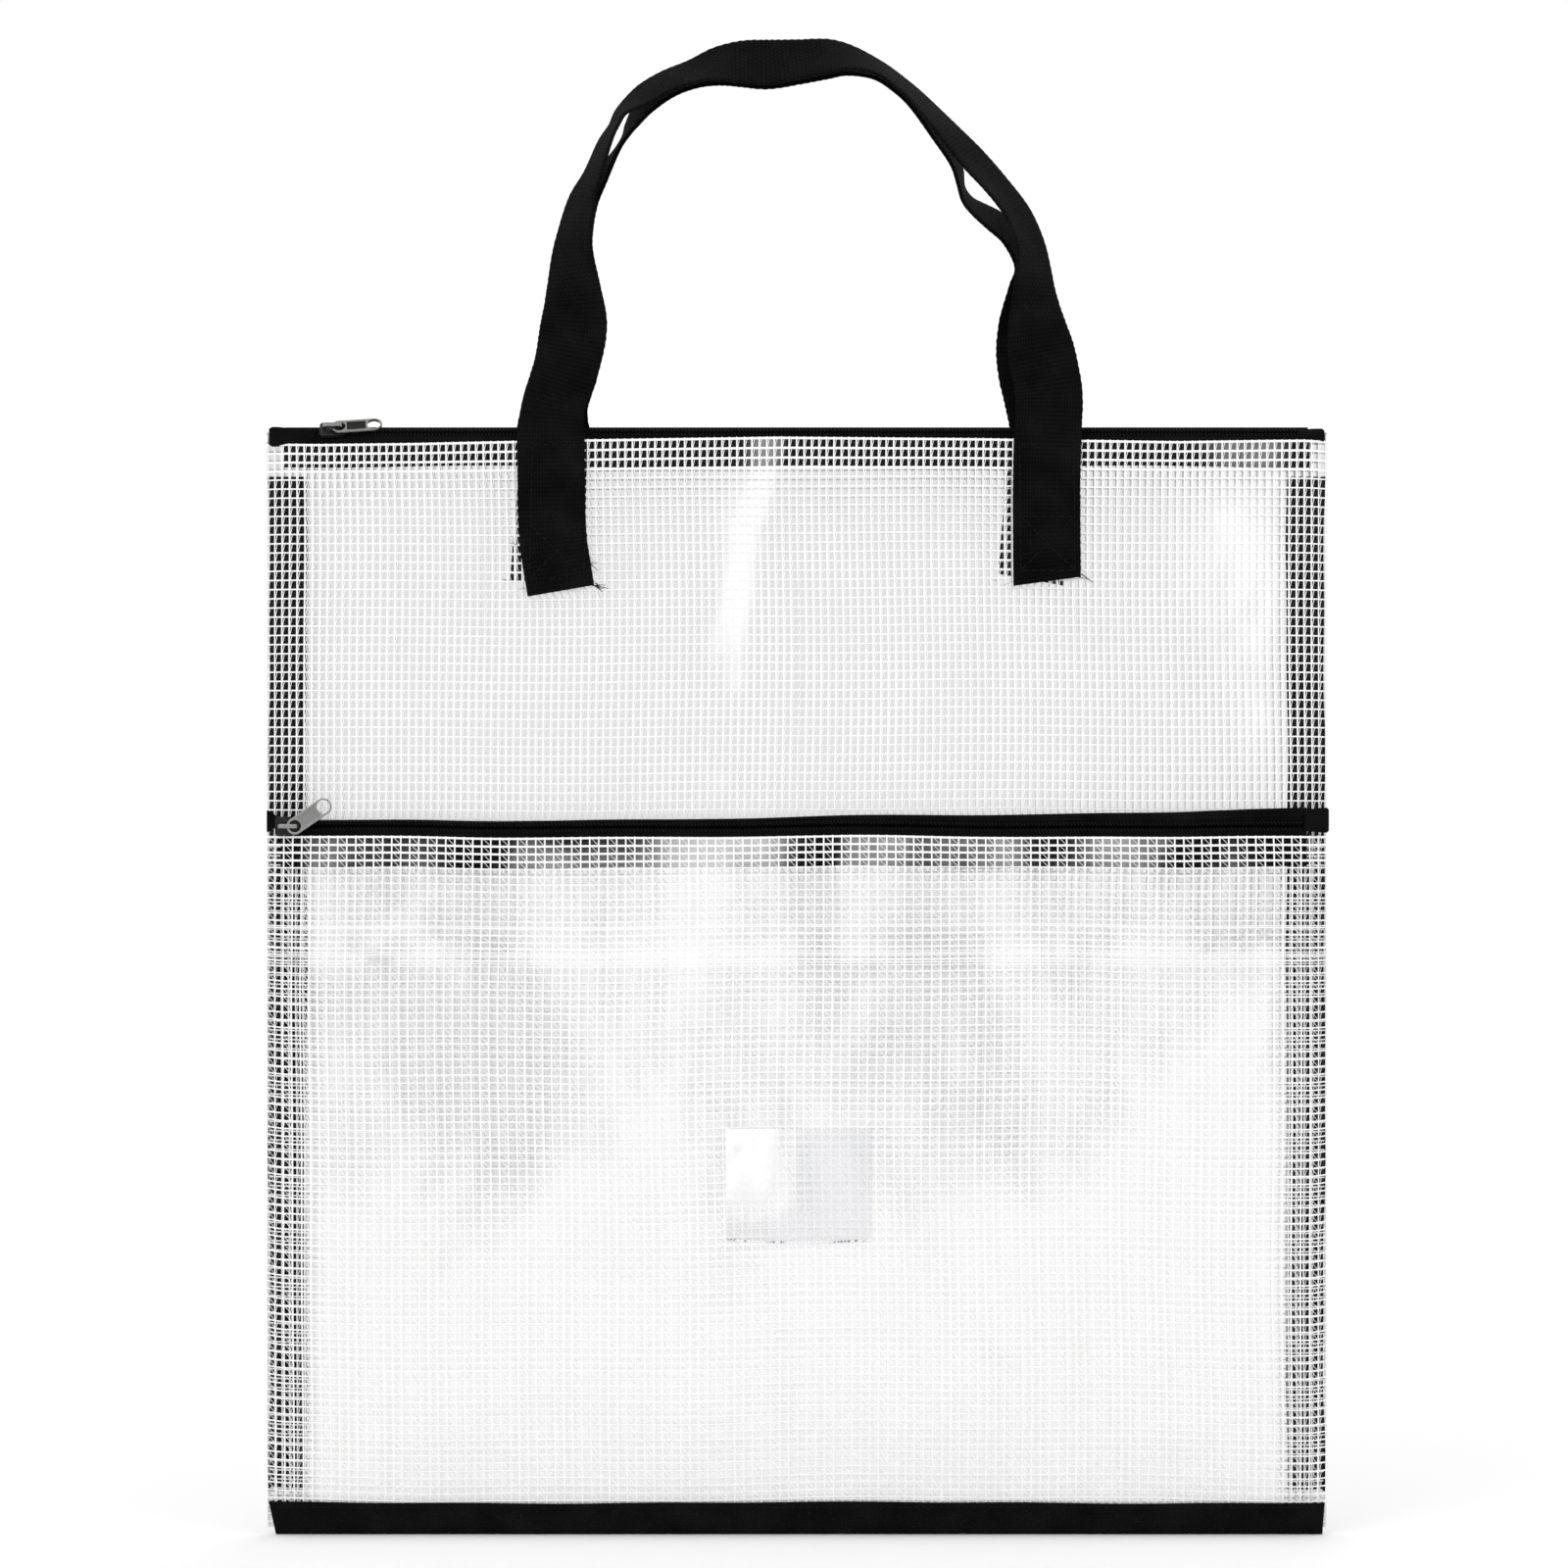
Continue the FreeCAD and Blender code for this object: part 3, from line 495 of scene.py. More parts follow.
def relief(tree, surface, height, depth, strength=1.0):
    bump = add_node(tree, "ShaderNodeBump", values={"Distance": depth, "Strength": strength})
    tree.links.new(height, bump.inputs["Height"])
    tree.links.new(bump.outputs["Normal"], surface.inputs["Normal"])


def weave_height(tree, along, across):
    """Threads that pass over and under each other, along and across a tape, with their pitches in metres."""
    cloth = add_node(tree, "ShaderNodeUVMap", {"uv_map": "cloth"})
    threads = add_node(tree, "ShaderNodeMapping", values={"Scale": (1 / along, 1 / across, 1)})
    tree.links.new(cloth.outputs["UV"], threads.inputs["Vector"])
    checker = add_node(tree, "ShaderNodeTexChecker", values={"Scale": 1.0})
    tree.links.new(threads.outputs["Vector"], checker.inputs["Vector"])
    humps = []
    for direction in ("X", "Y"):
        wave = add_node(tree, "ShaderNodeTexWave", {"bands_direction": direction},
                        {"Scale": math.pi / 10, "Distortion": 0.25, "Detail": 1.0, "Detail Scale": 1.5})
        tree.links.new(threads.outputs["Vector"], wave.inputs["Vector"])
        humps.append(wave.outputs["Fac"])
    mix = add_node(tree, "ShaderNodeMix", {"data_type": "FLOAT"})
    tree.links.new(checker.outputs["Fac"], mix.inputs[0])
    tree.links.new(humps[0], mix.inputs[2])
    tree.links.new(humps[1], mix.inputs[3])
    return mix.outputs[0]


def woven_finish(name, shade, along, across, depth, roughness=0.85):
    """A dark textile with its weave, fibre sheen, slightly rubbed threads and raised threads painted lighter as
    highlights.
    """
    material, tree, surface = new_finish(name, roughness, shade)
    surface.inputs["Specular IOR Level"].default_value = 0.03
    surface.inputs["Sheen Weight"].default_value = 0.008
    surface.inputs["Sheen Roughness"].default_value = 0.5
    weave = weave_height(tree, along, across)
    fibres = noise(tree, 2600, 2.0, 0.2, place="cloth")
    height = sum_of(tree, weave, fibres, 0.35)
    relief(tree, surface, height, depth)
    # Colour: lighter where random noise shows wear, and on the weave's raised threads as a painted highlight.
    wear_and_highlight = sum_of(tree, noise(tree, 60, 3.0, place="cloth"), weave, 0.35)
    two_tone(tree, surface, spread_value(tree, wear_and_highlight, 0.3, 1.1, 0, 1), tuple(c * 0.6 for c in shade),
        tuple(min(c * 2.2 + 0.003, 1) for c in shade))
    tree.links.new(spread_value(tree, fibres, 0.3, 0.7, roughness - 0.08, min(roughness + 0.1, 1)),
        surface.inputs["Roughness"])
    return material


def film_finish(cloth, name="clear reinforced film", clear=0.135, glare_alpha=0.34, low=0.80, high=1.08, lower_glare_and_crease_shade=0.0):
    """Clear soft film: faintly grey, with white patches of painted glare, small ripples and a wet gloss."""
    material, tree, surface = new_finish(name, 0.16, cloth.film_shade)
    surface.inputs["IOR"].default_value = 1.52
    # White patches of painted glare: where the noise is high the film is coloured white and made less clear, in place
    # of light reflected off its waves; the first noise also sets the roughness.
    glare_and_roughness_clouds = noise(tree, 7.5, 4.0, 0.7, (1.25, 1.0, 0.7))
    glare_streaks = noise(tree, 15, 3.0, 1.0, (1.3, 1.0, 0.7))
    place = own_place(tree)
    # The painted glare fades out near both sides.
    from_middle = add_node(tree, "ShaderNodeMath", {"operation": "ABSOLUTE"})
    tree.links.new(place.outputs["X"], from_middle.inputs[0])
    inner = spread_value(tree, from_middle.outputs["Value"], (HALF_WIDTH - 24) * MM, (HALF_WIDTH - 11) * MM, 1, 0)
    # More painted glare towards the bottom of the panel, used for the pocket film.
    lower = spread_value(tree, place.outputs["Z"], (BOTTOM + 60) * MM, (POCKET_CREASE + 5) * MM, lower_glare_and_crease_shade, 0)
    glare_amount = sum_of(tree, sum_of(tree, glare_and_roughness_clouds, glare_streaks, 0.4), lower, 1.0)
    painted_glare = product_of(tree, spread_value(tree, glare_amount, low, high, 0, 1), inner)
    two_tone(tree, surface, spread_value(tree, painted_glare, 0, 0.25, 0, 1), cloth.film_shade, cloth.painted_glare_shade)
    body = spread_value(tree, painted_glare, 0, 1, clear, glare_alpha)
    if lower_glare_and_crease_shade:
        # A painted shade band just above the pocket's crease: the dark film is made less clear there.
        fold = product_of(tree, spread_value(tree, place.outputs["Z"], (POCKET_CREASE - 0.4) * MM,
            (POCKET_CREASE + 0.4) * MM, 0, 1),
                          spread_value(tree, place.outputs["Z"], POCKET_CREASE * MM, (POCKET_CREASE + 20) * MM, 1, 0))
        body = sum_of(tree, body, fold, 0.16)
    tree.links.new(body, surface.inputs["Alpha"])
    tree.links.new(spread_value(tree, glare_and_roughness_clouds, 0.3, 0.7, 0.10, 0.26), surface.inputs["Roughness"])
    relief(tree, surface, sum_of(tree, noise(tree, 55, 3.0, 0.5), noise(tree, 420, 2.0), 0.12), 0.0011, 0.7)
    return material


def own_place(tree):
    """The piece's own X, Y and Z, in metres."""
    place = add_node(tree, "ShaderNodeSeparateXYZ")
    tree.links.new(add_node(tree, "ShaderNodeTexCoord").outputs["Object"], place.inputs[0])
    return place


def window_finish():
    """Smooth glossy window film, with painted glare on its left third."""
    material, tree, surface = new_finish("glossy window film", 0.05, (0.80, 0.82, 0.86))
    surface.inputs["IOR"].default_value = 1.54
    surface.inputs["Coat Weight"].default_value = 0.6
    surface.inputs["Coat Roughness"].default_value = 0.04
    place = own_place(tree)
    # Painted glare: the left third, fading downward, is coloured white and made less clear.
    painted_glare_patch = product_of(tree, spread_value(tree, place.outputs["X"], -0.016, 0.005, 1, 0),
        spread_value(tree, place.outputs["Z"], (WINDOW_MIDDLE - 20) * MM, (WINDOW_MIDDLE + 8) * MM, 0, 1))
    painted_glare_patch = product_of(tree, painted_glare_patch, spread_value(tree, noise(tree, 90, 2.0, 0.6, (1.0, 1.0, 0.45)), 0.2, 0.62, 0.35,
        1))
    two_tone(tree, surface, spread_value(tree, painted_glare_patch, 0, 0.2, 0, 1), (0.26, 0.27, 0.38), (1, 1, 1))
    tree.links.new(spread_value(tree, painted_glare_patch, 0, 1.0, 0.09, 0.82), surface.inputs["Alpha"])
    relief(tree, surface, noise(tree, 90, 2.0, 0.4), 0.0006, 0.6)
    return material


def weld_finish():
    """Pressed edge of the window, whiter than the film."""
    material, tree, surface = new_finish("pressed window edge", 0.22, (0.93, 0.94, 0.96))
    tree.links.new(spread_value(tree, noise(tree, 900, 2.0), 0.35, 0.6, 0.55, 0.95), surface.inputs["Alpha"])
    two_tone(tree, surface, spread_value(tree, noise(tree, 420, 1.0), 0.36, 0.46, 0, 1), (0.2, 0.2, 0.24), (1, 1, 1))
    relief(tree, surface, noise(tree, 1400, 1.0), 0.0002)
    return material


def scrim_finish(cloth):
    """White twisted threads under a clear skin."""
    material, tree, surface = new_finish("white scrim thread", 0.38, cloth.thread_shade)
    two_tone(tree, surface, noise(tree, 40, 3.0, 0.3), tuple(c * 0.93 for c in cloth.thread_shade),
        (0.98, 0.98, 0.98))
    tree.links.new(spread_value(tree, noise(tree, 700, 1.0), 0.3, 0.7, 0.28, 0.5), surface.inputs["Roughness"])
    return material


def coil_finish():
    material, tree, surface = new_finish("black nylon coil", 0.42, (0.003, 0.003, 0.0035))
    surface.inputs["Specular IOR Level"].default_value = 0.1
    two_tone(tree, surface, noise(tree, 120, 2.0), (0.002, 0.002, 0.0022), (0.008, 0.008, 0.009))
    tree.links.new(spread_value(tree, noise(tree, 500, 2.0), 0.3, 0.7, 0.32, 0.55), surface.inputs["Roughness"])
    return material


def thread_finish():
    material, tree, surface = new_finish("black sewing thread", 0.7, (0.008, 0.008, 0.008))
    surface.inputs["Specular IOR Level"].default_value = 0.06
    twist = noise(tree, 1500, 2.0, 0.4)
    two_tone(tree, surface, twist, (0.002, 0.002, 0.002), (0.012, 0.012, 0.013))
    relief(tree, surface, twist, 0.00012)
    return material


def enamel_finish(metal):
    """Sprayed black enamel, a little uneven, rubbed grey in places."""
    material, tree, surface = new_finish("black slider enamel", 0.3, metal.enamel_shade)
    surface.inputs["Specular IOR Level"].default_value = 0.2
    rubbed = noise(tree, 420, 4.0, 0.3)
    two_tone(tree, surface, spread_value(tree, rubbed, 0.62, 0.78, 0, 1), metal.enamel_shade, (0.03, 0.03, 0.032))
    tree.links.new(spread_value(tree, rubbed, 0.35, 0.7, 0.24, 0.46), surface.inputs["Roughness"])
    relief(tree, surface, noise(tree, 900, 2.0), 0.00005, 0.6)
    return material


def nickel_finish(metal):
    """Bright nickel plate with fine tumbling marks."""
    material, tree, surface = new_finish("nickel plate", 0.25, metal.nickel_shade)
    surface.inputs["Metallic"].default_value = 1.0
    marks = noise(tree, 800, 3.0, 0.2, (1, 1, 5))
    two_tone(tree, surface, noise(tree, 260, 3.0), tuple(c * 0.72 for c in metal.nickel_shade),
        tuple(min(c * 1.12, 1) for c in metal.nickel_shade))
    tree.links.new(spread_value(tree, marks, 0.3, 0.7, 0.16, 0.38), surface.inputs["Roughness"])
    relief(tree, surface, marks, 0.00004, 0.7)
    return material


def painted_dark_field_finish(prefix):
    """Dull, brushed metal of the recessed field, painted dark for its dark reflection: near black on the top pull and
    grey on the pocket's.
    """
    # Painted dark reflection: the top pull's field is near black, the pocket's grey.
    shade = (0.008, 0.008, 0.009) if prefix == "top" else (0.20, 0.20, 0.20)
    material, tree, surface = new_finish(f"{prefix} satin field", 0.5, shade)
    surface.inputs["Metallic"].default_value = 0.3
    surface.inputs["Specular IOR Level"].default_value = 0.25
    brushed = noise(tree, 700, 3.0, 0.3, (6, 1, 1))
    two_tone(tree, surface, brushed, tuple(c * 0.7 for c in shade), tuple(c * 1.4 for c in shade))
    relief(tree, surface, brushed, 0.00003)
    return material


# ---- strips: tapes, bindings and webbing ----


def strip_rings(path, thickness, stations, move=None):
    """A folded strip swept along X: its path in the YZ plane is rounded off and given a thickness."""
    path = np.asarray(path, float)
    step = np.diff(path, axis=0)
    tangent = unit(np.vstack([step[:1], (step[1:] + step[:-1]) / 2, step[-1:]]))
    across = np.stack([-tangent[:, 1], tangent[:, 0]], 1) * thickness / 2
    ring = np.vstack([path + across, (path - across)[::-1]])
    reach = np.concatenate([[0], np.cumsum(np.linalg.norm(step, axis=1))])
    spread = np.concatenate([reach, reach[::-1]])
    share = spread / reach[-1]
    rings, cloth = [], []
    for x in stations:
        points = np.column_stack([np.full(len(ring), x), ring])
        if move is not None:
            points = points + move(x, share)
        rings.append(points)
        cloth.append(np.column_stack([np.full(len(ring), x), spread]))
    return np.array(rings), np.concatenate(cloth)


def rounded_path(corners, count=5):
    """Corners with a short curve in place of each sharp turn."""
    corners = [np.asarray(c, float) for c in corners]
    path = [corners[0]]
    for before, here, after in zip(corners, corners[1:], corners[2:]):
        a = here + (before - here) * min(0.35, 1.2 / max(np.linalg.norm(before - here), 1e-6))
        b = here + (after - here) * min(0.35, 1.2 / max(np.linalg.norm(after - here), 1e-6))
        for t in np.linspace(0, 1, count):
            path.append((1 - t) ** 2 * a + 2 * t * (1 - t) * here + t**2 * b)
    path.append(corners[-1])
    return path


def chain_point(chain, across, out):
    """A point in the YZ plane from a zipper's own axes."""
    y, z, roll = chain
    return (y + across * math.cos(roll) - out * math.sin(roll), z + across * math.sin(roll) + out * math.cos(roll))


def tape_strip(name, node, corners, thickness, move, material, left, right):
    low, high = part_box(node)
    stations = np.linspace(low.x / MM - left, high.x / MM + right, 96)
    rings, cloth = strip_rings(rounded_path(corners), thickness, stations, move)
    piece = swept_piece(name, rings, material, "zip_tape", cloth)
    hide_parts(node)
    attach(piece, "bag")
    return piece


def coil_wire(name, node, chain, across, move, material, pitch=1.32):
    """One half of a nylon chain: a flattened spiral of wire."""
    low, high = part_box(node)
    left, right = low.x / MM, high.x / MM
    turns = int((right - left) / pitch)
    t = np.arange(turns * 9 + 1) / 9
    x = left + (right - left) * t / turns
    a = across + TURN_HALF_WIDTH * np.cos(2 * math.pi * t) * (1 + 0.03 * np.sin(t * 1.7))
    o = TURN_HALF_DEPTH * np.sin(2 * math.pi * t)
    y, z = chain_point(chain, a, o)
    centre = np.column_stack([x, y, z])
    along = unit(np.gradient(centre, axis=0))
    side = unit(np.cross(along, [1, 0, 0]))
    other = np.cross(along, side)
    turn = np.linspace(0, 2 * math.pi, 5, endpoint=False)
    circle = np.cos(turn)[None, :, None] * side[:, None] + np.sin(turn)[None, :, None] * other[:, None]
    rings = centre[:, None] + WIRE_RADIUS * circle
    if move is not None:
        rings[..., 2] += move(rings[..., 0])
    piece = swept_piece(name, rings, material, "coil")
    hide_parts(node)
    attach(piece, "bag")
    return piece


def folded_end(name, node, chain, left, right, half_left, half_right, thick, lift, material):
    """The tape's end, turned over and sewn flat over the last of the chain."""
    rows, columns = 15, 28
    rings, cloth = [], []
    for i in range(rows):
        s = i / (rows - 1)
        x = left + (right - left) * s
        bulge = (1 - abs(2 * s - 1) ** 6) ** 0.35 * (1 - 0.12 * math.exp(-((s - 0.42) / 0.06) ** 2))
        half = (half_left + (half_right - half_left) * s) * (0.82 + 0.18 * bulge)
        ring, flat = [], []
        for j in range(columns):
            turn = 2 * math.pi * j / columns
            c, d = math.cos(turn), math.sin(turn)
            a = math.copysign(abs(c) ** 0.45, c) * half + lift
            o = math.copysign(abs(d) ** 0.6, d) * thick / 2 * (0.35 + 0.65 * bulge) * (1 - 0.1 * math.cos(6 * turn))
            y, z = chain_point(chain, a, o)
            ring.append((x, y, z))
            flat.append((x, a + o))
        rings.append(ring)
        cloth += flat
    piece = swept_piece(name, rings, material, "zip_tape", cloth)
    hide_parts(node)
    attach(piece, "bag")
    return piece


def stitch_bead(start, end, out, width, height):
    """One stitch: a short rounded bead between two points."""
    start, end, out = (np.asarray(p, float) for p in (start, end, out))
    along = end - start
    side = np.cross(along / np.linalg.norm(along), out)
    rings = []
    for t, swell in ((0, 0.25), (0.18, 0.85), (0.5, 1), (0.82, 0.85), (1, 0.25)):
        c = start + along * t + out * (height * 0.4 * math.sin(math.pi * t))
        rings.append([c + side * width / 2 * swell * math.cos(a) + out * height * 0.6 * swell * math.sin(a)
                      for a in np.linspace(0, 2 * math.pi, 6, endpoint=False)])
    return sweep(rings)


def stitch_run(gathered, start, end, out, length, width=0.55, height=0.45):
    start, end = np.asarray(start, float), np.asarray(end, float)
    count = max(1, int(np.linalg.norm(end - start) / (length + STITCH_GAP)))
    for i in range(count):
        a = start + (end - start) * (i + 0.08) / count
        b = start + (end - start) * (i + 0.92) / count
        gathered.add(*stitch_bead(a, b, out, width, height))


# The webbing's middle line, in millimetres across and above the top edge, with its width as seen from the front.
FRONT_LINE = [
    (-87.2, -60.5, 25), (-88.5, -52.2, 25), (-89.8, -44.0, 25), (-90.5, -33.0, 25), (-90.8, -15.9, 25),
    (-90.9, -5.1, 24.9), (-90.9, 0.7, 24.6), (-89.7, 9.4, 23.6),
    (-85.5, 22.5, 23.9), (-82.5, 38.1, 24.6), (-82.6, 50.8, 20.7), (-83.0, 62.7, 16.3), (-82.2, 71.4, 13.6),
    (-79.4, 84.2, 10.9),
    (-75.2, 94.0, 7.9), (-70.8, 105.7, 6.0), (-67.5, 111.6, 4.7), (-64.4, 117.1, 6.0), (-56.8, 122.7, 10.2),
    (-48.1, 127.9, 10.5), (-38.4, 131.5, 11.2),
    (-28.8, 134.4, 14.9), (-19.8, 135.1, 17.8), (-10.5, 135.0, 18.5), (0.7, 136.1, 16.7), (11.9, 137.2, 14.9),
    (20.2, 136.5, 11.2),
    (30.4, 132.7, 7.6), (38.3, 127.1, 7.2), (45.1, 121.1, 7.6), (54.5, 111.0, 9.4), (64.6, 99.8, 11.3),
    (73.9, 89.5, 10.8),
    (81.7, 79.2, 10.9), (86.2, 68.6, 11.5), (87.7, 59.4, 13.2), (88.0, 50.4, 16.4), (88.7, 39.9, 21.1),
    (90.1, 30.1, 24.5),
    (92.1, 20.3, 24.9), (93.4, 11.6, 24.9), (93.1, 0.7, 24.9), (92.8, -5.1, 25), (92.4, -23.2, 25), (92.6, -57.0, 25),
]
BACK_LINE = [
    (-94.2, -56.5, 25), (-92.0, -30.4, 25), (-90.3, -12.3, 25), (-89.5, -5.1, 24.9), (-89.4, 0.7, 24.3),
    (-89.2, 9.4, 23.6),
    (-85.4, 22.5, 23.9), (-82.5, 38.1, 24.3), (-82.6, 50.8, 20.3), (-83.0, 62.7, 15.9), (-82.1, 71.4, 13.0),
    (-78.8, 83.4, 10.2),
    (-73.4, 93.2, 7.4), (-66.8, 103.8, 3.2), (-63.2, 109.4, 3.6), (-61.2, 113.2, 5.9), (-56.0, 120.7, 9.2),
    (-47.7, 127.0, 10.0), (-38.3, 131.0, 10.9),
    (-28.4, 133.9, 14.5), (-19.6, 134.6, 17.0), (-10.5, 134.3, 17.6), (0.7, 135.3, 16.1), (11.8, 136.2, 14.0),
    (19.9, 135.4, 10.3),
    (29.9, 132.0, 6.6), (37.6, 126.6, 5.6), (44.2, 120.4, 5.8), (52.9, 109.3, 7.0), (59.2, 98.6, 5.2),
    (61.0, 90.8, 3.2),
    (63.8, 85.0, 5.8), (68.3, 81.2, 8.3), (73.5, 77.6, 10.0), (81.1, 71.2, 11.0), (86.0, 60.0, 10.4),
    (86.0, 50.4, 15.8),
    (85.9, 39.9, 21.8), (86.5, 30.1, 24.9), (87.5, 20.3, 24.9), (89.5, 11.6, 24.9), (91.7, 0.7, 24.9),
    (91.7, -5.1, 25), (90.0, -23.2, 25), (87.2, -56.0, 25),
]


def smooth_line(points, step):
    """Even stations on a smooth curve through the points, each point with any number of values."""
    points = np.asarray(points, float)
    padded = np.vstack([2 * points[0] - points[1], points, 2 * points[-1] - points[-2]])
    dense = []
    for p0, p1, p2, p3 in zip(padded, padded[1:], padded[2:], padded[3:]):
        for t in np.linspace(0, 1, 14, endpoint=False):
            dense.append(0.5 * (2 * p1 + (p2 - p0) * t + (2 * p0 - 5 * p1 + 4 * p2 - p3) * t**2 + (3 * p1 - p0 - 3 *
                p2 + p3) * t**3))
    dense = np.array(dense + [points[-1]])
    kernel = np.array([1, 4, 8, 10, 8, 4, 1]) / 36
    soft = dense.copy()
    for column in range(dense.shape[1]):
        soft[3:-3, column] = np.convolve(dense[:, column], kernel, "valid")
    reach = np.concatenate([[0], np.cumsum(np.linalg.norm(np.diff(soft[:, :2], axis=0), axis=1))])
    stations = np.linspace(0, reach[-1], int(reach[-1] / step) + 1)
    return np.column_stack([np.interp(stations, reach, soft[:, k]) for k in range(dense.shape[1])]), stations


def webbing(name, line, y, nodes, slant, trims, material):
    """One handle in a single length of webbing: two sewn legs and a loop that tips on edge over the crown."""
    stations, reach = smooth_line(line, 1.25)
    x, up, seen = stations.T
    z = TOP + up
    centre = np.column_stack([x, np.full(len(x), y), z])
    along = unit(np.gradient(centre, axis=0))
    outward = np.column_stack([-along[:, 2], np.zeros(len(x)), along[:, 0]])
    tip = np.arccos(np.clip(seen / STRAP_WIDTH, 0.1, 1))
    tip = np.where(up < 2, tip * ease((up + 4) / 8), tip)
    wide = outward * np.cos(tip)[:, None] + np.array([0, 1, 0]) * np.sin(tip)[:, None]
    thick = unit(np.cross(along, wide))
    shares = np.array([-1, -0.97, -0.9, -0.7, -0.4, 0, 0.4, 0.7, 0.9, 0.97, 1])
    swell = np.array([0.15, 0.7, 1, 0.97, 1, 1.03, 1, 0.97, 1, 0.7, 0.15])
    outline = [(s, t) for s, t in zip(shares, swell)] + [(s, -t) for s, t in zip(shares[::-1], swell[::-1])]
    half = trims.webbing_thickness / MM / 2
    nap = np.random.default_rng(len(name))
    length = reach[-1]
    rings, cloth = [], []
    for i in range(len(x)):
        edge = STRAP_WIDTH / 2 + 0.16 * math.sin(reach[i] * 2 * math.pi / 2.5) + nap.uniform(-0.06, 0.06)
        from_end = min(reach[i], length - reach[i])
        cut = slant[0 if reach[i] < length / 2 else 1] * max(0, 1 - from_end / 24)
        bow = 0.25 * math.sin(reach[i] / 21) * ease((up[i] - 4) / 14)
        ring = []
        for s, t in outline:
            point = centre[i] + wide[i] * (s * edge) + thick[i] * (half * t + bow * (1 - s * s))
            point = point + np.array([0, 0, cut * s])
            ring.append(point)
            cloth.append((reach[i], s * STRAP_WIDTH / 2))
        rings.append(ring)
    piece = swept_piece(name, rings, material, "webbing", cloth)
    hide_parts(*nodes)
    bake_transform(piece)
    return piece


def frayed_ends(name, corners, y, seed, material):
    """Loose fibres at the cut ends of the webbing."""
    pick = np.random.default_rng(seed)
    gathered = Gathered()
    for (x, z), lean, count in corners:
        for _ in range(count):
            start = np.array([x + pick.uniform(-1.2, 1.2), y + pick.uniform(-0.3, 0.3), z + pick.uniform(-0.8, 0.8)])
            heading = np.array([lean * pick.uniform(0.4, 1.2), math.copysign(0.05, y), pick.uniform(-0.9, 0.15)])
            heading /= np.linalg.norm(heading)
            curl = np.array([pick.uniform(-0.5, 0.5), 0, pick.uniform(-0.6, 0.2)])
            length, radius = pick.uniform(1.6, 4.6), pick.uniform(0.16, 0.28)
            rings = []
            for t in np.linspace(0, 1, 7):
                c = start + heading * length * t + curl * length * t * t * 0.6
                r = radius * (1 - 0.55 * t)
                rings.append([c + np.array([math.sin(a) * r * 0.7, math.cos(a) * r,
                    math.sin(a) * r * 0.7]) for a in np.linspace(0, 2 * math.pi, 5, endpoint=False)])
            gathered.add(*sweep(rings))
    piece = gathered.piece(name, material, "thread")
    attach(piece, "bag")
    return piece


# ---- operators ----


class BAG_OT_body_panels(Operator):
    """Cut the front and back panels of reinforced film"""
    bl_idname = "bag.body_panels"
    bl_label = "Body panels"

    def execute(self, context):
        cloth = context.scene.bag_cloth
        film, thread = film_finish(cloth), scrim_finish(cloth)
        for side, top, shape, rake in (("front", FRONT_TOP, front_shape, (0.12, 0.34)),
                ("back", BACK_TOP, back_shape, (0.34, 0.12))):
            cut = PanelCut(LOWER_SEAM, top, shape, cloth.ripple, front_edge if side == "front" else None)
            sheet = film_sheet(f"{side}_film", cut, film)
            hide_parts(f"{side}_panel")
            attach(sheet, "bag")
            threads = scrim(f"{side}_scrim", cut, thread, cloth.body_pitch_across, cloth.body_pitch_up, cloth,
                            BODY_HEM_ROWS, rake)
            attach(threads, "bag")
        return {"FINISHED"}


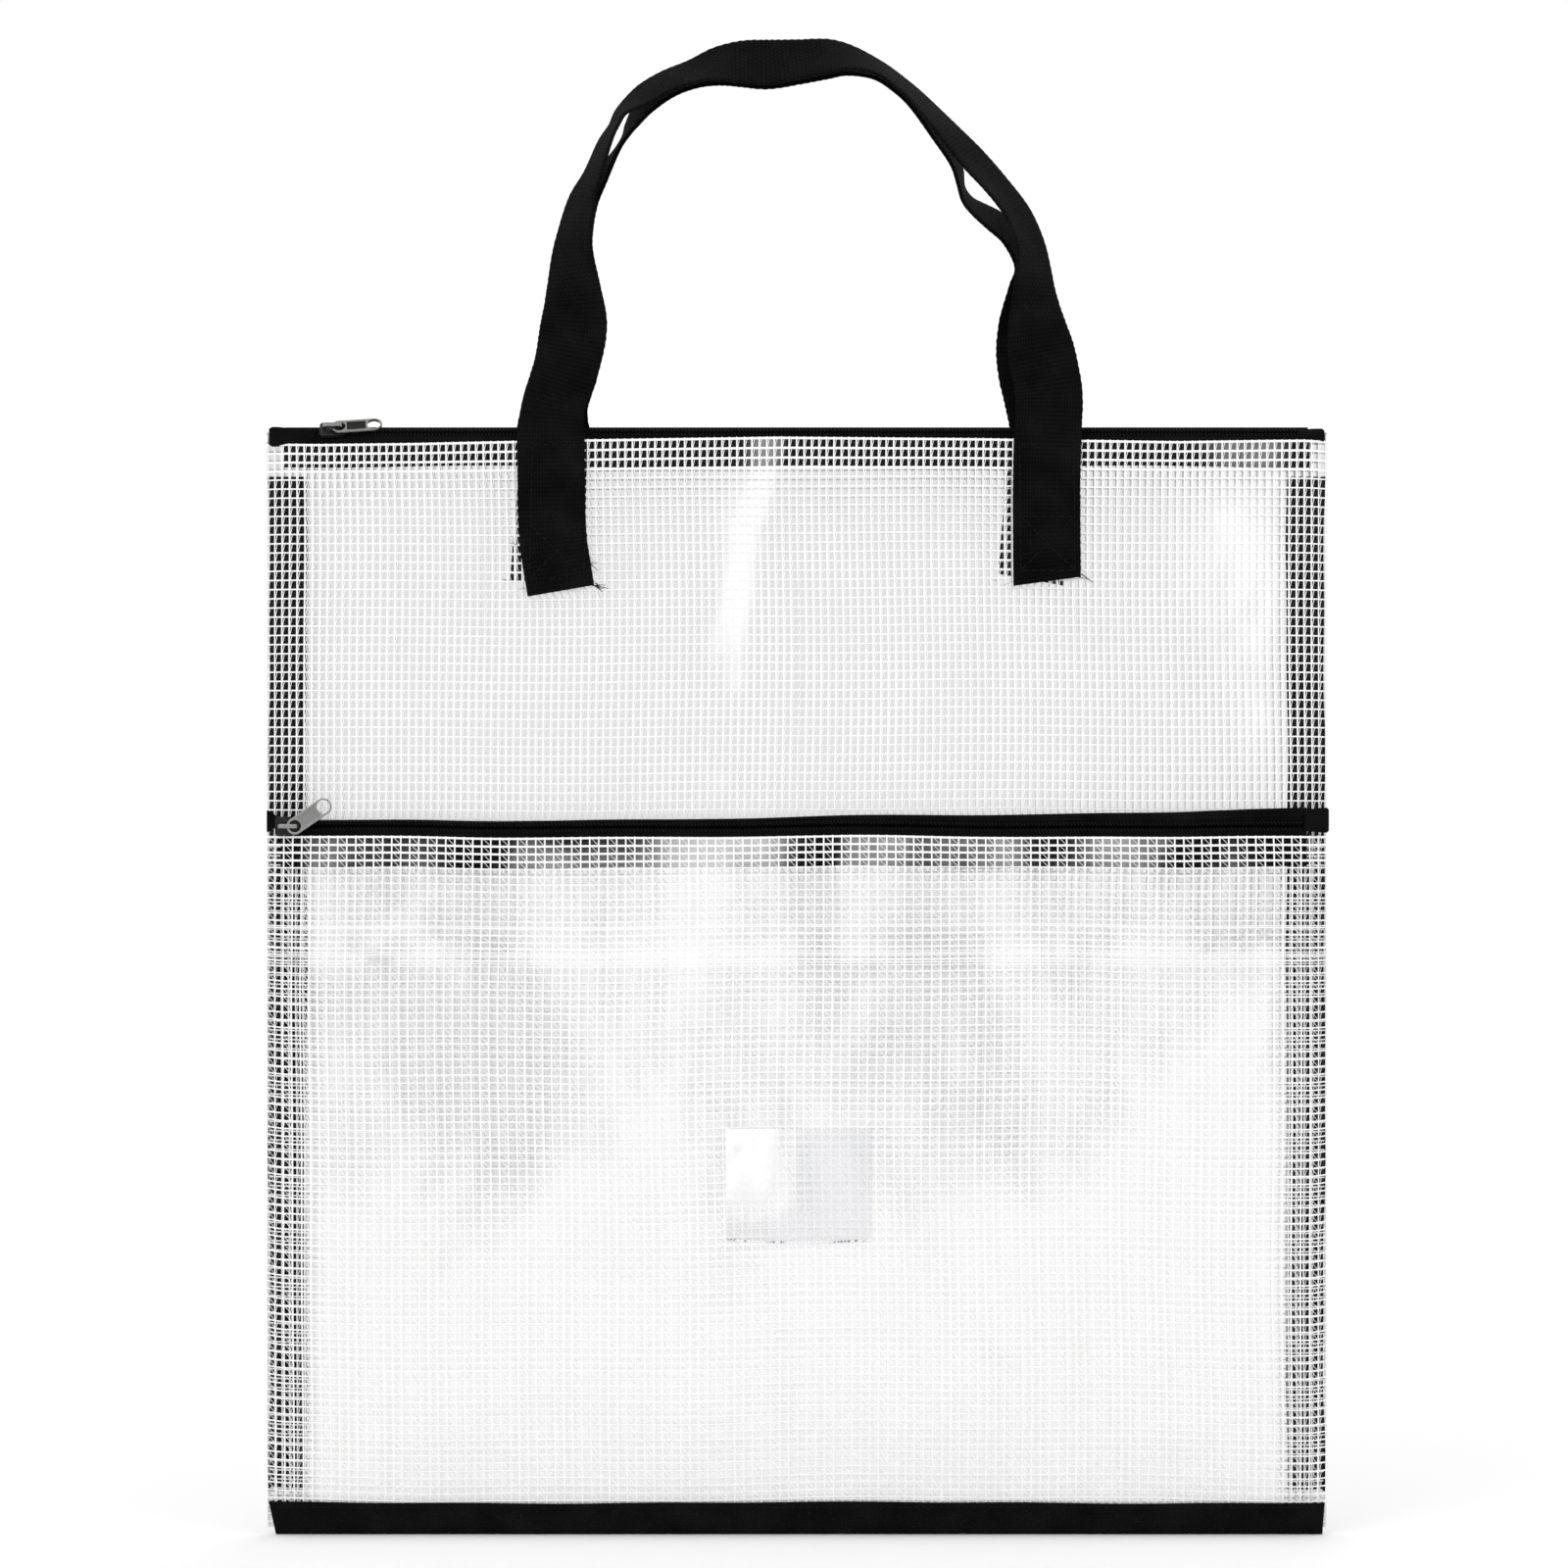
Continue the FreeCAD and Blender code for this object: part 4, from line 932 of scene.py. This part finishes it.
class BAG_OT_front_pocket(Operator):
    """Cut the pocket panel and seal the label window on it"""
    bl_idname = "bag.front_pocket"
    bl_label = "Front pocket"

    def execute(self, context):
        cloth = context.scene.bag_cloth
        # The pocket film has more painted glare towards its bottom and a painted shade band above its crease.
        film = film_finish(cloth, "pocket film with painted glare", 0.06, 0.54, 0.54, 0.92, 0.3)
        thread = bpy.data.materials.get("white scrim thread") or scrim_finish(cloth)
        cut = PanelCut(LOWER_SEAM, POCKET_TOP + 0.6 + CREASE_TUCK, pocket_shape, cloth.ripple, sag_of_zip,
            (POCKET_CREASE, CREASE_TUCK), 1.8)
        sheet = film_sheet("pocket_film", cut, film)
        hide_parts("pocket_panel")
        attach(sheet, "bag")
        rows = (*POCKET_HEM_ROWS, *(cut.top - POCKET_CREASE - np.array(CREASE_ROWS)))
        threads = scrim("pocket_scrim", cut, thread, cloth.pocket_pitch_across, cloth.pocket_pitch_up, cloth,
                        rows, (0.9, 0.2), 2)
        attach(threads, "bag")
        self.label_window(cut)
        return {"FINISHED"}

    def label_window(self, pocket):
        low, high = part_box("label_window")
        left, right, bottom, top = low.x / MM, high.x / MM, low.z / MM, high.z / MM
        u, v = np.meshgrid(np.linspace(left, right, WINDOW_COLUMNS), np.linspace(bottom, top, WINDOW_ROWS))
        across, climb = (2 * u - left - right) / (right - left), (v - bottom) / (top - bottom)
        sag = 0.9 * np.clip(1 - across**2, 0, 1) * (1 - climb) ** 2
        slack = 1.1 * np.clip(1 - across**2, 0, 1) * (0.25 + 0.75 * climb) * np.clip(climb * 4, 0, 1)
        wave = 0.25 * np.sin(u / 4.6 + 0.6) * np.sin(v / 7.5) * np.clip(1 - across**4, 0, 1)
        points = pocket.place(u, v)
        points[..., 2] = v - sag
        points[..., 0] = u
        points[..., 1] = pocket.shape(u, v - sag, pocket.ripple) - 0.55 - slack + wave
        sheet = make_piece("label_window_film", points.reshape(-1, 3), grid_faces(WINDOW_ROWS, WINDOW_COLUMNS),
            window_finish(), "window_film")
        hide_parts("label_window")
        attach(sheet, "bag")
        welds = Gathered()
        sides = [points[:, 0], points[:, -1], points[0, :]]
        for line in sides:
            stations, reach = smooth_line(line, 1.3)
            for i in range(len(stations) - 1):
                welds.add(*stitch_bead(stations[i] + (stations[i + 1] - stations[i]) * 0.1 - [0, 0.1, 0],
                                       stations[i] + (stations[i + 1] - stations[i]) * 0.85 - [0, 0.1, 0], (0, -1, 0),
                                       0.85, 0.3))
        weld = welds.piece("label_window_weld", weld_finish(), "window_film")
        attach(weld, "bag")


class BAG_OT_bindings(Operator):
    """Fold ribbed tape round the side seams and the bottom edge"""
    bl_idname = "bag.bindings"
    bl_label = "Bindings"

    def execute(self, context):
        trims = context.scene.bag_trims
        ribbed = woven_finish("ribbed binding tape", trims.binding_shade, 0.0009, 0.0006, 0.00022)
        for side in ("left", "right"):
            self.seam_tape(side, ribbed)
        self.bottom_tape(ribbed)
        return {"FINISHED"}

    def seam_tape(self, side, material):
        """Folded tape inside a side seam, its fold towards the middle of the bag."""
        low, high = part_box(f"{side}_seam_binding")
        outer, inner = (low.x, high.x) if side == "left" else (high.x, low.x)
        outer, inner = math.copysign(HALF_WIDTH - 0.9, outer), inner / MM
        z = np.linspace(low.z / MM, high.z / MM, 120)
        rings, cloth = [], []
        fold = []
        for t in np.linspace(-1, 1, 15):
            if abs(t) > 0.25:
                share = (abs(t) - 0.25) / 0.75
                fold.append((share * 0.93 + 0.07, math.copysign(0.62 + 0.22 * share, t)))
            else:
                turn = t / 0.25 * math.pi / 2
                fold.append((0.07 - 0.07 * math.cos(turn), 0.62 * math.sin(turn)))
        fold = np.array(fold)
        for level in z:
            wander = 0.35 * math.sin(level / 23) + 0.2 * math.sin(level / 8.3)
            width = (outer - inner) * (1 + 0.02 * math.sin(level / 31))
            middle = np.column_stack([inner + wander * math.copysign(1, inner) + fold[:, 0] * width,
                fold[:, 1] * (1 + 0.15 * math.sin(level / 11))])
            step = unit(np.gradient(middle, axis=0))
            side_step = np.column_stack([-step[:, 1], step[:, 0]]) * 0.2
            ring = np.vstack([middle + side_step, (middle - side_step)[::-1]])
            rings.append(np.column_stack([ring[:, 0], ring[:, 1], np.full(len(ring), level)]))
            cloth += [(level, r) for r in ring[:, 0]]
        piece = swept_piece(f"{side}_seam_tape", rings, material, "binding_tape", cloth)
        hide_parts(f"{side}_seam_binding")
        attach(piece, "bag")

    def bottom_tape(self, material):
        low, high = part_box("bottom_binding")
        front, back = low.y / MM + 0.35, high.y / MM - 0.35
        corners = [(front, BOTTOM + 12), (-1.62, BOTTOM + 2.2), (-1.35, BOTTOM + 0.35), (0.8, BOTTOM + 0.35),
            (1.02, BOTTOM + 2.2), (back, BOTTOM + 12)]
        path = np.array(rounded_path(corners, 6))
        stations = np.concatenate([np.linspace(low.x / MM, low.x / MM + 8, 6),
            np.linspace(low.x / MM + 10, high.x / MM - 10, 120), np.linspace(high.x / MM - 8, high.x / MM, 6)])

        def shift(x, share):
            height = 1 - np.abs(2 * share - 1)
            tuck = 2.6 * max(0, 1 - (x - low.x / MM) / 9) - 0.7 * max(0, 1 - (high.x / MM - x) / 9)
            rise = (0.3 * math.sin(x / 37 + 1) + 0.15 * math.sin(x / 11)) * (1 - height)
            end = min(x - low.x / MM, high.x / MM - x)
            pinch = 0.55 * max(0, 1 - end / 7)
            flatten = np.where(share < 0.5, 1, -1) * pinch * (1 - height) * 2
            return np.column_stack([tuck * height, flatten, rise])

        rings, cloth = strip_rings(path, 0.6, stations, shift)
        piece = swept_piece("bottom_tape", rings, material, "binding_tape", cloth)
        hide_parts("bottom_binding")
        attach(piece, "bag")
        run = Gathered()
        trims = bpy.context.scene.bag_trims
        for y, out in ((front, -1), (back, 1)):
            line_y = y + (0.17 * (12 - BINDING_SEAM)) * (1 if out < 0 else -1) + out * 0.28
            start = (low.x / MM + 3, line_y, BOTTOM + BINDING_SEAM)
            end = (high.x / MM - 3, line_y, BOTTOM + BINDING_SEAM)
            stitch_run(run, start, end, (0, out, 0), trims.stitch_length / MM, 0.4, 0.25)
        stitches = run.piece("bottom_tape_stitches", thread_finish(), "thread")
        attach(stitches, "bag")


class BAG_OT_zippers(Operator):
    """Weave the zipper tapes, wind the coils and fold the ends"""
    bl_idname = "bag.zippers"
    bl_label = "Zippers"

    def execute(self, context):
        trims = context.scene.bag_trims
        cloth = woven_finish("woven zipper tape", trims.tape_shade, 0.0007, 0.0005, 0.00012)
        nylon = coil_finish()
        inside = PANEL_FACE - FILM - 0.3

        def hang(side):
            def move(x, share):
                back = side * (1 - roll_off(x)) * INSIDE * share
                return np.column_stack([np.zeros(len(share)), back, 0.4 * np.sin(x / 19 + 1.3) * share**2])
            return move

        def sag(x, share):
            back = (1 - roll_off(x)) * (INSIDE + POCKET_MOUTH) * ease(share / 0.25)
            return np.column_stack([np.zeros(len(share)), back,
                np.full(len(share), sag_of_zip(x)) + 0.3 * np.sin(x / 13) * share**3])

        def sag_and_rise(x, share):
            return sag(x, share) + np.column_stack([np.zeros((len(share), 2)),
                upper_tape_rise(x) * ease(share / 0.3) * ease((1 - share) / 0.4)])

        top, pocket = TOP_CHAIN, POCKET_CHAIN
        tape_strip("top_zip_front_tape_cloth", "top_zip_front_tape",
                   [chain_point(top, -0.5, -0.85), chain_point(top, -2.2, -0.1), chain_point(top, -4.0, 0),
                   (-inside, FRONT_TOP - 2.5), (-inside, TOP - 14.5)], 0.42, hang(1), cloth, 10.2, 10.2)
        tape_strip("top_zip_back_tape_cloth", "top_zip_back_tape",
                   [chain_point(top, 0.5, -0.85), chain_point(top, 2.2, -0.1), chain_point(top, 3.1, 0),
                   (inside - 0.5, TOP - 0.9), (inside, TOP - 3.4), (inside, TOP - 13)], 0.42, hang(-1), cloth, 10.2,
                   10.2)
        on_panel = 0.3 - 2.5
        tape_strip("pocket_zip_upper_tape_cloth", "pocket_zip_upper_tape",
                   [chain_point(pocket, 0.5, -0.85), chain_point(pocket, 2.2, -0.1), chain_point(pocket, 2.55, -0.4),
                   chain_point(pocket, 2.3, -1.4),
                    chain_point(pocket, 1.6, on_panel), chain_point(pocket, -1.4, on_panel)], 0.38, sag_and_rise,
                    cloth, 4.0, 7.4)
        tape_strip("pocket_zip_lower_tape_cloth", "pocket_zip_lower_tape",
                   [chain_point(pocket, -0.5, -0.85), chain_point(pocket, -2.2, -0.1), chain_point(pocket, -4, 0),
                   chain_point(pocket, -15.1, 0)], 0.42, sag, cloth, 4.0, 7.4)
        for name, chain, across, move in (("top_zip_front_coil", top, -1.25, None),
            ("top_zip_back_coil", top, 1.25, None),
                                          ("pocket_zip_lower_coil", pocket, -1.25, sag_of_zip),
                                          ("pocket_zip_upper_coil", pocket, 1.25, sag_of_zip)):
            coil_wire(f"{name}_wire", name, chain, across, move, nylon)
        edge = HALF_WIDTH - 1.1
        left_turn, right_turn = (-3.4, TOP - 3.4, math.radians(75)), (-0.95, TOP - 2.7, math.radians(50))
        folded_end("top_zip_left_fold", "top_zip_left_end", left_turn, -edge, -178.4, 3.8, 2.3, 4.6, 0.0, cloth)
        folded_end("top_zip_right_fold", "top_zip_right_end", right_turn, 185.6, edge + 0.3, 2.3, 2.7, 3.0, 0.0,
            cloth)
        folded_end("pocket_zip_left_fold", "pocket_zip_left_end", pocket, -edge - 0.4, -192.3, 4.4, 2.2, 2.8, 1.8,
            cloth)
        folded_end("pocket_zip_right_fold", "pocket_zip_right_end", pocket, 187.6, edge + 1.2, 4.0, 4.8, 3.0, 2.2,
            cloth)
        return {"FINISHED"}


class BAG_OT_pulls(Operator):
    """Finish the sliders, bails and pull tabs, with rounded edges"""
    bl_idname = "bag.pulls"
    bl_label = "Sliders and pulls"

    def execute(self, context):
        metal = context.scene.bag_metal
        enamel, nickel = enamel_finish(metal), nickel_finish(metal)
        bodies = {"top": ("top_slider", "top_pull"), "pocket": ("pocket_slider", "pocket_pull")}
        for prefix, (slider, pull) in bodies.items():
            self.soften(f"{prefix}_slider_body", f"{prefix}_slider_shell", slider, enamel, "slider_enamel",
                metal.edge_round * 1.5)
            self.soften(f"{prefix}_slider_bail", f"{prefix}_slider_loop", slider, nickel, "nickel",
                metal.edge_round * 1.4)
            tab = self.soften(f"{prefix}_pull_tab", f"{prefix}_pull", pull, nickel, "nickel", metal.edge_round)
            self.paint_dark_field(tab, (0, -1, 1) if prefix == "top" else (0, -1, 0), painted_dark_field_finish(prefix))
        return {"FINISHED"}

    def soften(self, node, name, body, material, slot, width):
        """A copy of a hard part with clean faces and rounded edges."""
        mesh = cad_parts[node].data.copy()
        work = bmesh.new()
        work.from_mesh(mesh)
        bmesh.ops.remove_doubles(work, verts=work.verts, dist=1e-6)
        bmesh.ops.dissolve_limit(work, angle_limit=math.radians(1.5), verts=work.verts, edges=work.edges)
        sharp = [e for e in work.edges if len(e.link_faces) == 2 and e.calc_face_angle(0) > math.radians(32)]
        bmesh.ops.bevel(work, geom=sharp, offset=width, offset_type="OFFSET", segments=2, profile=0.6, affect="EDGES",
            clamp_overlap=True)
        for face in work.faces:
            face.smooth = True
        work.to_mesh(mesh)
        work.free()
        mesh.materials.clear()
        mesh.materials.append(material)
        mesh.set_sharp_from_angle(angle=math.radians(38))
        piece = in_scene(name, mesh)
        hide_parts(node)
        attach(piece, body)
        return piece

    def paint_dark_field(self, tab, face, satin):
        """The recessed field between the holes gets the darker satin finish, a painted dark reflection."""
        outward = np.array(face, float) / np.linalg.norm(face)
        centre = np.mean([list(v.co) for v in tab.data.vertices], axis=0)
        tab.data.materials.append(satin)
        for polygon in tab.data.polygons:
            depth = (np.array(polygon.center) - centre) @ outward
            if np.array(polygon.normal) @ outward > 0.95 and depth < 0.00042:
                polygon.material_index = 1


class BAG_OT_handles(Operator):
    """Lay both webbing handles, sew their legs down and fray their ends"""
    bl_idname = "bag.handles"
    bl_label = "Handles"

    def execute(self, context):
        trims = context.scene.bag_trims
        woven = woven_finish("black webbing", trims.webbing_shade, 0.0016, 0.0011, 0.0003)
        thread = thread_finish()

        def nodes(side):
            return f"{side}_handle_left_leg", f"{side}_handle_right_leg", f"{side}_handle_loop"

        webbing("front_handle_webbing", FRONT_LINE, -STRAP_LINE, nodes("front"), (-0.2, 1.6), trims,
            woven)
        webbing("back_handle_webbing", BACK_LINE, STRAP_LINE, nodes("back"), (-1.4, -1.2), trims,
            woven)
        stitch = trims.stitch_length / MM
        for side, y, out, legs in (("front", -PANEL_FACE - 1.42, -1, ((-88.2, -1.2, -59), (92.6, 0.6, -56))),
                                   ("back", PANEL_FACE + 1.42, 1, ((-92.6, -4.2, -54), (90.4, -4.2, -53)))):
            run = Gathered()
            for x, lean, foot in legs:
                a, b = -10.0, 10.0
                high, low = TOP - 6.5, TOP + foot + 3
                shift = lean * 0.4
                corner = lambda s, z: (x + s + (shift if z < TOP - 30 else -shift), y, z)
                for p, q in (((a, high), (b, high)), ((b, high), (b, low)), ((b, low), (a, low)),
                    ((a, low), (a, high)),
                             ((a, low), (b, low + 20)), ((b, low), (a, low + 20)), ((a, low + 20), (b, low + 20))):
                    stitch_run(run, corner(*p), corner(*q), (0, out, 0), stitch)
            piece = run.piece(f"{side}_handle_sewing", thread, "thread")
            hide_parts(f"{side}_handle_stitches")
            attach(piece, "bag")
        frayed_ends("front_handle_fray", [((-75.6, TOP - 58.4), 1, 7), ((-99.8, TOP - 59.2), -1, 4), ((-102.6,
            TOP - 43), -0.6, 2), ((-76.4, TOP - 50.5), 0.5, 3),
                                           ((104.4, TOP - 54.6), 0.7, 2), ((81.0, TOP - 56.5), -1, 4),
                                           ((95, TOP - 55.8), 0.5, 3)], -STRAP_LINE, 4, thread)
        frayed_ends("back_handle_fray", [((-106.4, TOP - 56), -1, 4), ((-82, TOP - 57), 1, 3), ((75, TOP - 56), -1,
            3), ((99.4, TOP - 55), 1, 3)], STRAP_LINE, 9, thread)
        return {"FINISHED"}


class BAG_OT_studio(Operator):
    """Set the pale floor, the soft light and the camera"""
    bl_idname = "bag.studio"
    bl_label = "Studio"

    def execute(self, context):
        studio = context.scene.bag_studio
        self.floor(studio)
        self.light(context.scene, studio)
        self.camera(context.scene, studio)
        return {"FINISHED"}

    def floor(self, studio):
        radius, rings_count, spokes = 1500.0, 24, 64
        verts = [(0, 0, BOTTOM - 0.1)]
        for i in range(1, rings_count + 1):
            r = radius * (i / rings_count) ** 1.6
            verts += [(r * math.cos(2 * math.pi * j / spokes), r * math.sin(2 * math.pi * j / spokes),
                BOTTOM - 0.1) for j in range(spokes)]
        faces = [(0, 1 + j, 1 + (j + 1) % spokes) for j in range(spokes)]
        for i in range(rings_count - 1):
            a, b = 1 + i * spokes, 1 + (i + 1) * spokes
            faces += [(a + j, b + j, b + (j + 1) % spokes, a + (j + 1) % spokes) for j in range(spokes)]
        mesh = bpy.data.meshes.new("studio_floor")
        mesh.from_pydata((np.array(verts) * MM).tolist(), [], faces)
        floor = in_scene("studio_floor", mesh)
        material, tree, surface = new_finish("pale floor", 0.8, studio.floor_shade)
        surface.inputs["Specular IOR Level"].default_value = 0.1
        place = add_node(tree, "ShaderNodeTexCoord")
        far = add_node(tree, "ShaderNodeVectorMath", {"operation": "LENGTH"})
        tree.links.new(place.outputs["Object"], far.inputs[0])
        tree.links.new(spread_value(tree, far.outputs["Value"], 0.62, 1.4, 1.0, 0.0), surface.inputs["Alpha"])
        mesh.materials.append(material)

    def light(self, scene, studio):
        world = bpy.data.worlds.new("white surround")
        world.use_nodes = True
        world.node_tree.nodes["Background"].inputs["Color"].default_value = (1, 1, 1, 1)
        world.node_tree.nodes["Background"].inputs["Strength"].default_value = studio.surround
        scene.world = world
        scene.view_settings.view_transform = "Standard"
        for name, place, aim, width, power in (("key_light", (-0.9, -1.7, 0.75), (0, 0, -0.3), 1.1, studio.key_power),
                                               ("fill_light", (1.3, -1.2, 0.35), (0, 0, -0.3), 1.2,
                                               studio.key_power * 0.35),
                                               ("rim_light", (0.4, 1.6, 0.9), (0, 0, -0.25), 1.0,
                                               studio.key_power * 0.5)):
            data = bpy.data.lights.new(name, "AREA")
            data.energy, data.size = power, width
            lamp = in_scene(name, data)
            lamp.location = place
            aim_at = np.array(aim) - np.array(place)
            flat = math.hypot(aim_at[0], aim_at[1])
            lamp.rotation_euler = (math.atan2(flat, -aim_at[2]), 0, math.atan2(aim_at[1], aim_at[0]) - math.pi / 2)

    def camera(self, scene, studio):
        data = bpy.data.cameras.new("studio_camera")
        data.lens, data.sensor_width = studio.lens, 36
        data.clip_start, data.clip_end = 0.02, 30
        camera = in_scene("studio_camera", data)
        distance = studio.field * studio.lens / data.sensor_width
        camera.location = (-0.0047, -PANEL_FACE * MM - distance, -0.2609)
        camera.rotation_euler = (math.pi / 2, 0, 0)
        scene.camera = camera


class BAG_PT_maker(Panel):
    """The bag's pieces and their settings"""
    bl_idname = "BAG_PT_maker"
    bl_label = "Beach Bag"
    bl_space_type = "VIEW_3D"
    bl_region_type = "UI"
    bl_category = "Beach Bag"

    def draw(self, context):
        scene, layout = context.scene, self.layout
        for group, heading in ((scene.bag_cloth, "Film and threads"), (scene.bag_trims, "Trims"),
                (scene.bag_metal, "Metal"), (scene.bag_studio, "Studio")):
            box = layout.box()
            box.label(text=heading)
            for field in group.__annotations__:
                box.prop(group, field)
        for operator in OPERATORS:
            layout.operator(operator.bl_idname)


SETTINGS = {"bag_cloth": ClothSettings, "bag_trims": TrimSettings, "bag_metal": MetalSettings,
    "bag_studio": StudioSettings}
OPERATORS = (BAG_OT_body_panels, BAG_OT_front_pocket, BAG_OT_bindings, BAG_OT_zippers, BAG_OT_pulls, BAG_OT_handles,
    BAG_OT_studio)


def register():
    for group in (*SETTINGS.values(), *OPERATORS, BAG_PT_maker):
        bpy.utils.register_class(group)
    for name, group in SETTINGS.items():
        setattr(bpy.types.Scene, name, PointerProperty(type=group))


def unregister():
    for name in SETTINGS:
        delattr(bpy.types.Scene, name)
    for group in reversed((*SETTINGS.values(), *OPERATORS, BAG_PT_maker)):
        bpy.utils.unregister_class(group)


def main():
    register()
    bpy.ops.bag.body_panels()
    bpy.ops.bag.front_pocket()
    bpy.ops.bag.bindings()
    bpy.ops.bag.zippers()
    bpy.ops.bag.pulls()
    bpy.ops.bag.handles()
    bpy.ops.bag.studio()


if __name__ == "__main__":
    main()
